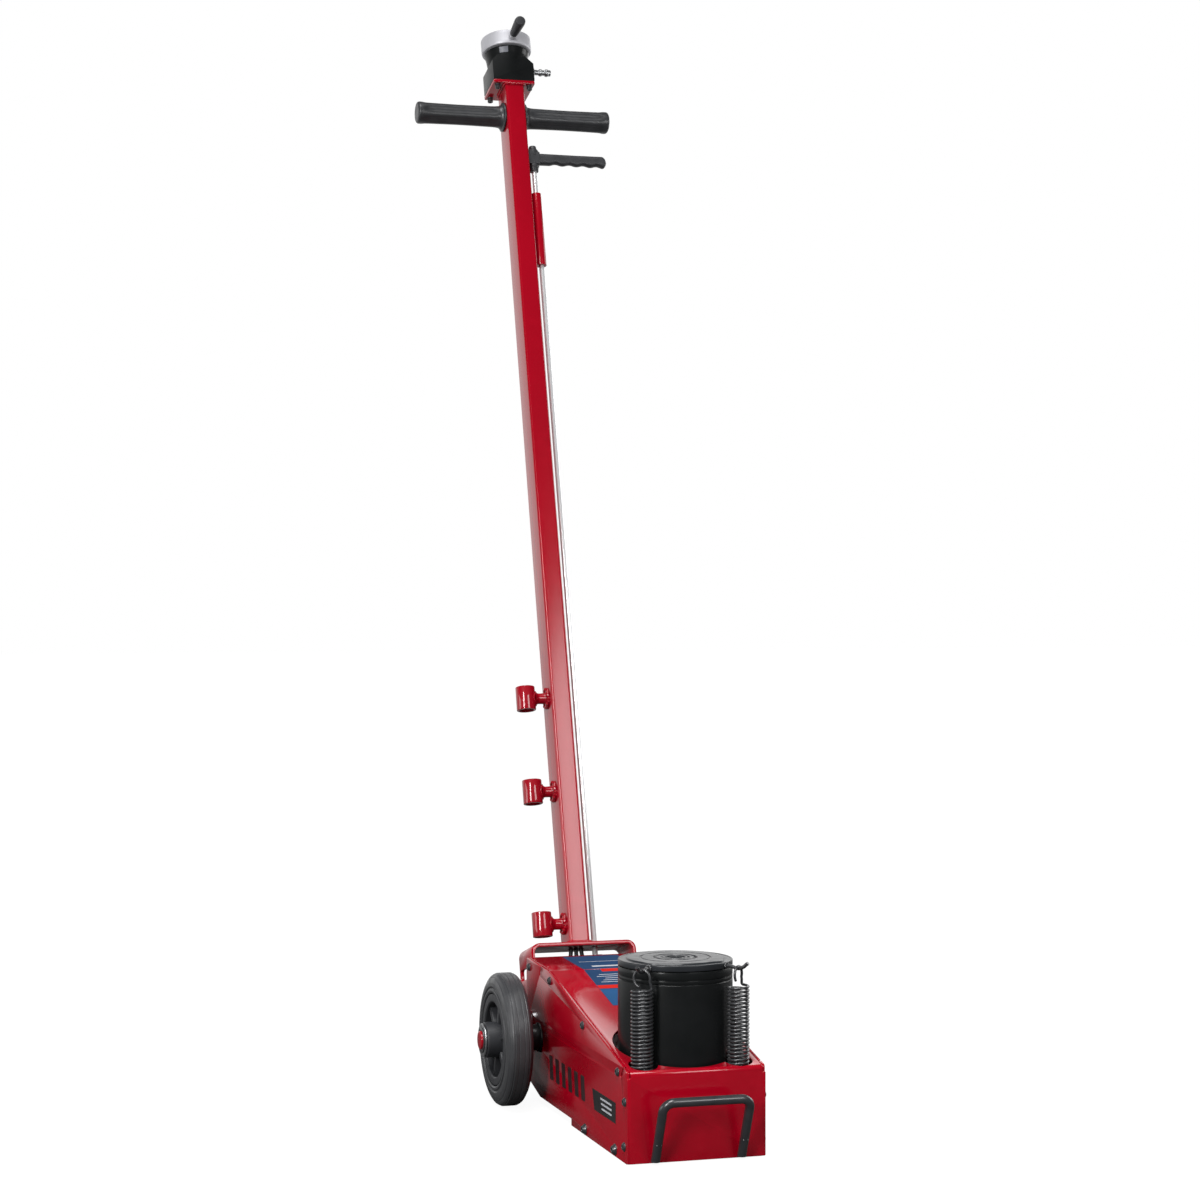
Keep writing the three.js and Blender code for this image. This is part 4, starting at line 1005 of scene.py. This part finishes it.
def sleeves():
    """Three open sleeves, each on a stub that is welded to the mast with a rough bead."""
    x0, r, bore, length, stub = -47.5, 14.2, 10.8, 35, 8
    wall = -MAST_TUBE[0]
    turns = [TAU * k / 110 for k in range(110)]
    for name, v in (("lower", 141.3), ("middle", 334.2), ("upper", 473.2)):
        place = MAST @ Matrix.Translation((0, 56.4, v))
        body = shifted(tube(bore, r, -length / 2, length / 2, 0.8, ROUND), x0)
        neck = [(stub + 4.6, x0 + bore + 1.6), (stub + 4.0, x0 + r - 1.2), (stub, x0 + r + 3.4, 4)]
        neck += [(stub, wall - 4.5, 3), (stub + 3.6, wall - 0.4), (0, wall - 0.4)]
        neck = [(0, x0 + bore + 1.6), *rounded(neck, 0.6, closed=False)]
        blob = [(wall - 1.4 - 0.9 * math.sin(5 * a), 11.2 * math.cos(a), 13.0 * math.sin(a)) for a in turns]
        saddle = []
        for a in turns:
            y = 10.2 * math.cos(a)
            saddle.append((x0 + math.sqrt(r * r - y * y) + 0.3, y, 10.2 * math.sin(a)))
        parts = [body, turned(neck, ROUND, "x"), bead(blob, 2.7, ripple=4.1), bead(saddle, 1.3)]
        piece(f"tool_sleeve_{name}", parts, "red_gloss", "mast", [f"accessory_sleeve_{name}"], place)


# ---------- air hoses ----------
RELEASE = [(-24, 128, 111), (-24, 134, 133), (-24, 158, 138), (-22, 190, 124)]
RELEASE += [(-16, 255, 112), (-12, 318, 121)]
SUPPLY = [(0, 274.9, 87.6), (0, 280, 88), (0, 286, 92), (0, 298, 110), (0, 318, 121)]
RETURN = [(14, 274.9, 66.4), (14, 281, 67), (14, 289, 80), (12, 300, 106), (10, 318, 121)]
# x at the mast's foot, and the points under the cover
HOSES = {"release": (-10, RELEASE), "supply": (0, SUPPLY), "return": (10, RETURN)}


def hoses():
    for name, (x, run) in HOSES.items():
        in_mast = x * 0.75
        path = [Vector(p) for p in run] + [Vector((x, 340, 124)), Vector((x, 359.5, 122))]
        bend = [(x, 20, 34), (x, 46, 62), (x, 56, 86), (in_mast, 56.4, 104)]
        drift = [(in_mast, 55, 140), (in_mast, 44, 230), (in_mast, 38.5, 300), (in_mast, 38.5, MAST_TOP)]
        path += [MAST @ Vector(p) for p in bend + drift]
        body = ("chassis", "mast", (0, 0.335, 0.118), (0, 0.425, 0.165))
        nodes = [f"hose_{name}_lower", f"hose_{name}_upper"]
        hose = swept(smooth(path), 3.0, 16)
        piece(f"air_hose_{name}", [hose], "soft_rubber", body, nodes, smooth_angle=60)


# ---------- labels: plain colour fields, with no lettering ----------
def cover_label():
    fold_y, fold_z = FOLD

    def strip(y0, y1, lift, thick):
        """A strip of the cover's outer face from y0 to y1."""
        ys = [y0] + [y for y in (fold_y - 3, fold_y, fold_y + 3) if y0 < y < y1] + [y1]

        def z(y):
            return slope_z(y) if y < fold_y else fold_z + (REAR_Z - fold_z) * (y - fold_y) / (REAR_Y - fold_y)

        sag = [0.45 if abs(y - fold_y) < 1 else 0.0 for y in ys]
        up = [(y, z(y) + lift - s) for y, s in zip(ys, sag)]
        return up + [(y, b + thick) for y, b in reversed(up)]

    def printed(y0, y1, x0, x1, lift=0.28):
        return prism(strip(y0, y1, lift, 0.12), x0, x1, "x", edge=0.04, steps=1)

    field = prism(strip(137, 377, 0.05, 0.25), -40, 40, "x", edge=0.1, steps=1)
    piece("label_field", [field], "label_blue", "chassis")
    piece("label_lower_band", [printed(137, 196, -39.5, 39.5)], "label_band", "chassis")
    stripes = [printed(199, 211, -39.5, 39.5), printed(262, 272, -17, 17)]
    piece("label_stripe", stripes, "label_stripe", "chassis")
    lines = []
    for k in range(5):
        y = 222 + 7 * k
        lines.append(printed(y, y + 1.4, -30 + 5 * (k % 3), 30 - 4 * (k % 2)))
    for k in range(3):
        y = 150 + 12 * k
        lines.append(printed(y, y + 1.6, -28 + 6 * k, 26, 0.42))
    lines += [printed(290, 298, -22, 22), printed(330, 331.6, -30, 30)]
    piece("label_lines", lines, "label_mark", "chassis")


def side_labels():
    def stuck(outline, outer, inner):
        """A flat mark on the left side plate, between two distances from its face."""
        return prism(outline, -SIDE_X - outer, -SIDE_X - inner, "x", edge=0.06, steps=1)

    bars = []
    for k in range(6):
        y = 96 + 30 * k
        outline = rounded([(y, 43), (y + 17, 43), (y + 22, 75), (y + 5, 75)], 2)
        bars.append(stuck(outline, 0.25, 0.02))
    piece("side_bars", bars, "side_bars", "chassis")
    sticker = rounded([(-37, 41), (55, 41), (64, 67), (-37, 67)], 1)
    piece("side_sticker", [stuck(sticker, 0.25, 0.02)], "label_black", "chassis")
    marks = []
    for k in range(3):
        z = 47 + 6.2 * k
        marks.append(stuck(rectangle(-20, 22 + 3 * k, z, z + 2.4, 0.6), 0.4, 0.2))
    piece("side_stripes", marks, "label_mark", "chassis")


# ---------- CAD nodes that show as they are ----------
def finish_nodes():
    for name, obj in frame["nodes"].items():
        obj.data.materials.clear()
        obj.data.materials.append(MATERIALS[NODE_SLOT[name]])


# ---------- stage ----------
LIGHTS = {  # place, aim, size and watts
    "front_left": ((-2.6, -2.4, 1.9), (0, 0.3, 0.5), (0.7, 1.8), 110),
    "front_right": ((1.05, -2.6, 1.8), (0, 0.45, 0.35), (1.2, 1.2), 32),
    "behind": ((1.6, 3.4, 2.2), (0, 0.4, 0.6), (1.6, 1.6), 14),
    "left": ((-2.8, 0.6, 0.7), (0, 0.1, 0.1), (1.2, 1.0), 14),
    "right": ((2.6, 0.9, 1.3), (0, 0.3, 0.4), (1.2, 1.8), 26),
}
CAMERA_AT = (-1.0193, -3.0468, 0.69)
CAMERA_TURN = math.atan2(0.289, 0.957)
FOCAL_LENGTH = 76.29


def light(name, place, aim, size, power):
    data = bpy.data.lights.new(name, "AREA")
    data.shape = "RECTANGLE"
    data.size, data.size_y = size
    data.energy = power
    obj = bpy.data.objects.new(name, data)
    obj.location = place
    obj.rotation_euler = (Vector(aim) - Vector(place)).to_track_quat("-Z", "Y").to_euler()
    bpy.context.scene.collection.objects.link(obj)


def stage():
    """A pale floor that runs into the pale surroundings, a soft sun and soft boxes."""
    reach = 30
    mesh = bpy.data.meshes.new("floor")
    corners = [(-reach, -reach, 0), (reach, -reach, 0), (reach, reach, 0), (-reach, reach, 0)]
    mesh.from_pydata(corners, [], [(0, 1, 2, 3)])
    floor = bpy.data.objects.new("floor", mesh)
    floor.location.z = -0.0005
    bpy.context.scene.collection.objects.link(floor)
    surface = Surface("floor_paint", (0.08, 0.08, 0.08), 0.9, specular=0.0)
    surface.mottled((0.085, 0.085, 0.085), 0.8)
    where = surface.node("ShaderNodeSeparateXYZ")
    surface.link(surface.place, where.inputs["Vector"])
    glow = surface.node("ShaderNodeEmission", Color=(1, 1, 1, 1))
    far = surface.spread(where.outputs["Y"], 0, 0.7, 1.0, 2.5)
    seen = surface.node("ShaderNodeMix", B=0.94)
    rays = surface.node("ShaderNodeLightPath")
    surface.link(rays.outputs["Is Camera Ray"], seen.inputs["Factor"])
    surface.link(far, seen.inputs["A"])
    surface.link(seen.outputs["Result"], glow.inputs["Strength"])
    lit = surface.tree.nodes.new("ShaderNodeAddShader")
    surface.link(surface.shader.outputs["BSDF"], lit.inputs[0])
    surface.link(glow.outputs["Emission"], lit.inputs[1])
    surface.link(lit.outputs["Shader"], surface.tree.nodes["Material Output"].inputs["Surface"])
    mesh.materials.append(surface.material)

    sun = bpy.data.lights.new("sun", "SUN")
    sun.energy = 2.6
    sun.angle = math.radians(30)
    lamp = bpy.data.objects.new("sun", sun)
    lamp.rotation_euler = Vector((0.2, 0.35, -1)).to_track_quat("-Z", "Y").to_euler()
    bpy.context.scene.collection.objects.link(lamp)
    for name, setting in LIGHTS.items():
        light(name, *setting)


def surroundings():
    """Pale behind the object and near the horizon, and dark in front and above."""
    world = bpy.data.worlds.new("studio")
    world.use_nodes = True
    nodes = Nodes(world.node_tree)
    sky = nodes.tree.nodes["Background"]
    sky.inputs["Color"].default_value = (1, 1, 1, 1)
    direction = nodes.node("ShaderNodeSeparateXYZ")
    place = nodes.node("ShaderNodeTexCoord")
    nodes.link(place.outputs["Generated"], direction.inputs["Vector"])
    behind = nodes.spread(direction.outputs["Y"], 0, 0.9, 0.1, 0.8)
    low = nodes.spread(direction.outputs["Z"], 1, 0.15, 0.2, 0.5)
    for ramp in (behind, low):
        ramp.node.interpolation_type = "SMOOTHSTEP"
    both = nodes.node("ShaderNodeMath")
    both.operation = "MULTIPLY_ADD"
    nodes.link(behind, both.inputs[0])
    nodes.link(low, both.inputs[1])
    both.inputs[2].default_value = 0.06
    nodes.link(both.outputs["Value"], sky.inputs["Strength"])
    seen = nodes.node("ShaderNodeBackground", Color=(1, 1, 1, 1), Strength=1.0)
    rays = nodes.node("ShaderNodeLightPath")
    mix = nodes.node("ShaderNodeMixShader")
    nodes.link(rays.outputs["Is Camera Ray"], mix.inputs["Fac"])
    nodes.link(sky.outputs["Background"], mix.inputs[1])
    nodes.link(seen.outputs["Background"], mix.inputs[2])
    nodes.link(mix.outputs["Shader"], nodes.tree.nodes["World Output"].inputs["Surface"])
    bpy.context.scene.world = world
    bpy.context.scene.view_settings.view_transform = "Standard"


def camera():
    data = bpy.data.cameras.new("camera")
    data.sensor_width = 36
    data.lens = FOCAL_LENGTH
    data.clip_end = 100
    obj = bpy.data.objects.new("camera", data)
    obj.location = CAMERA_AT
    obj.rotation_euler = (math.pi / 2, 0, -CAMERA_TURN)
    bpy.context.scene.collection.objects.link(obj)
    bpy.context.scene.camera = obj


finish_nodes()
side_panels()
cover()
base_slab()
side_fasteners()
front_handle()
barrel()
ram()
lid()
springs()
wheels()
axle()
pivot()
bracket()
mast_tube()
tbar()
head_block()
control()
lock()
hand_lever()
sleeves()
hoses()
cover_label()
side_labels()
stage()
surroundings()
camera()
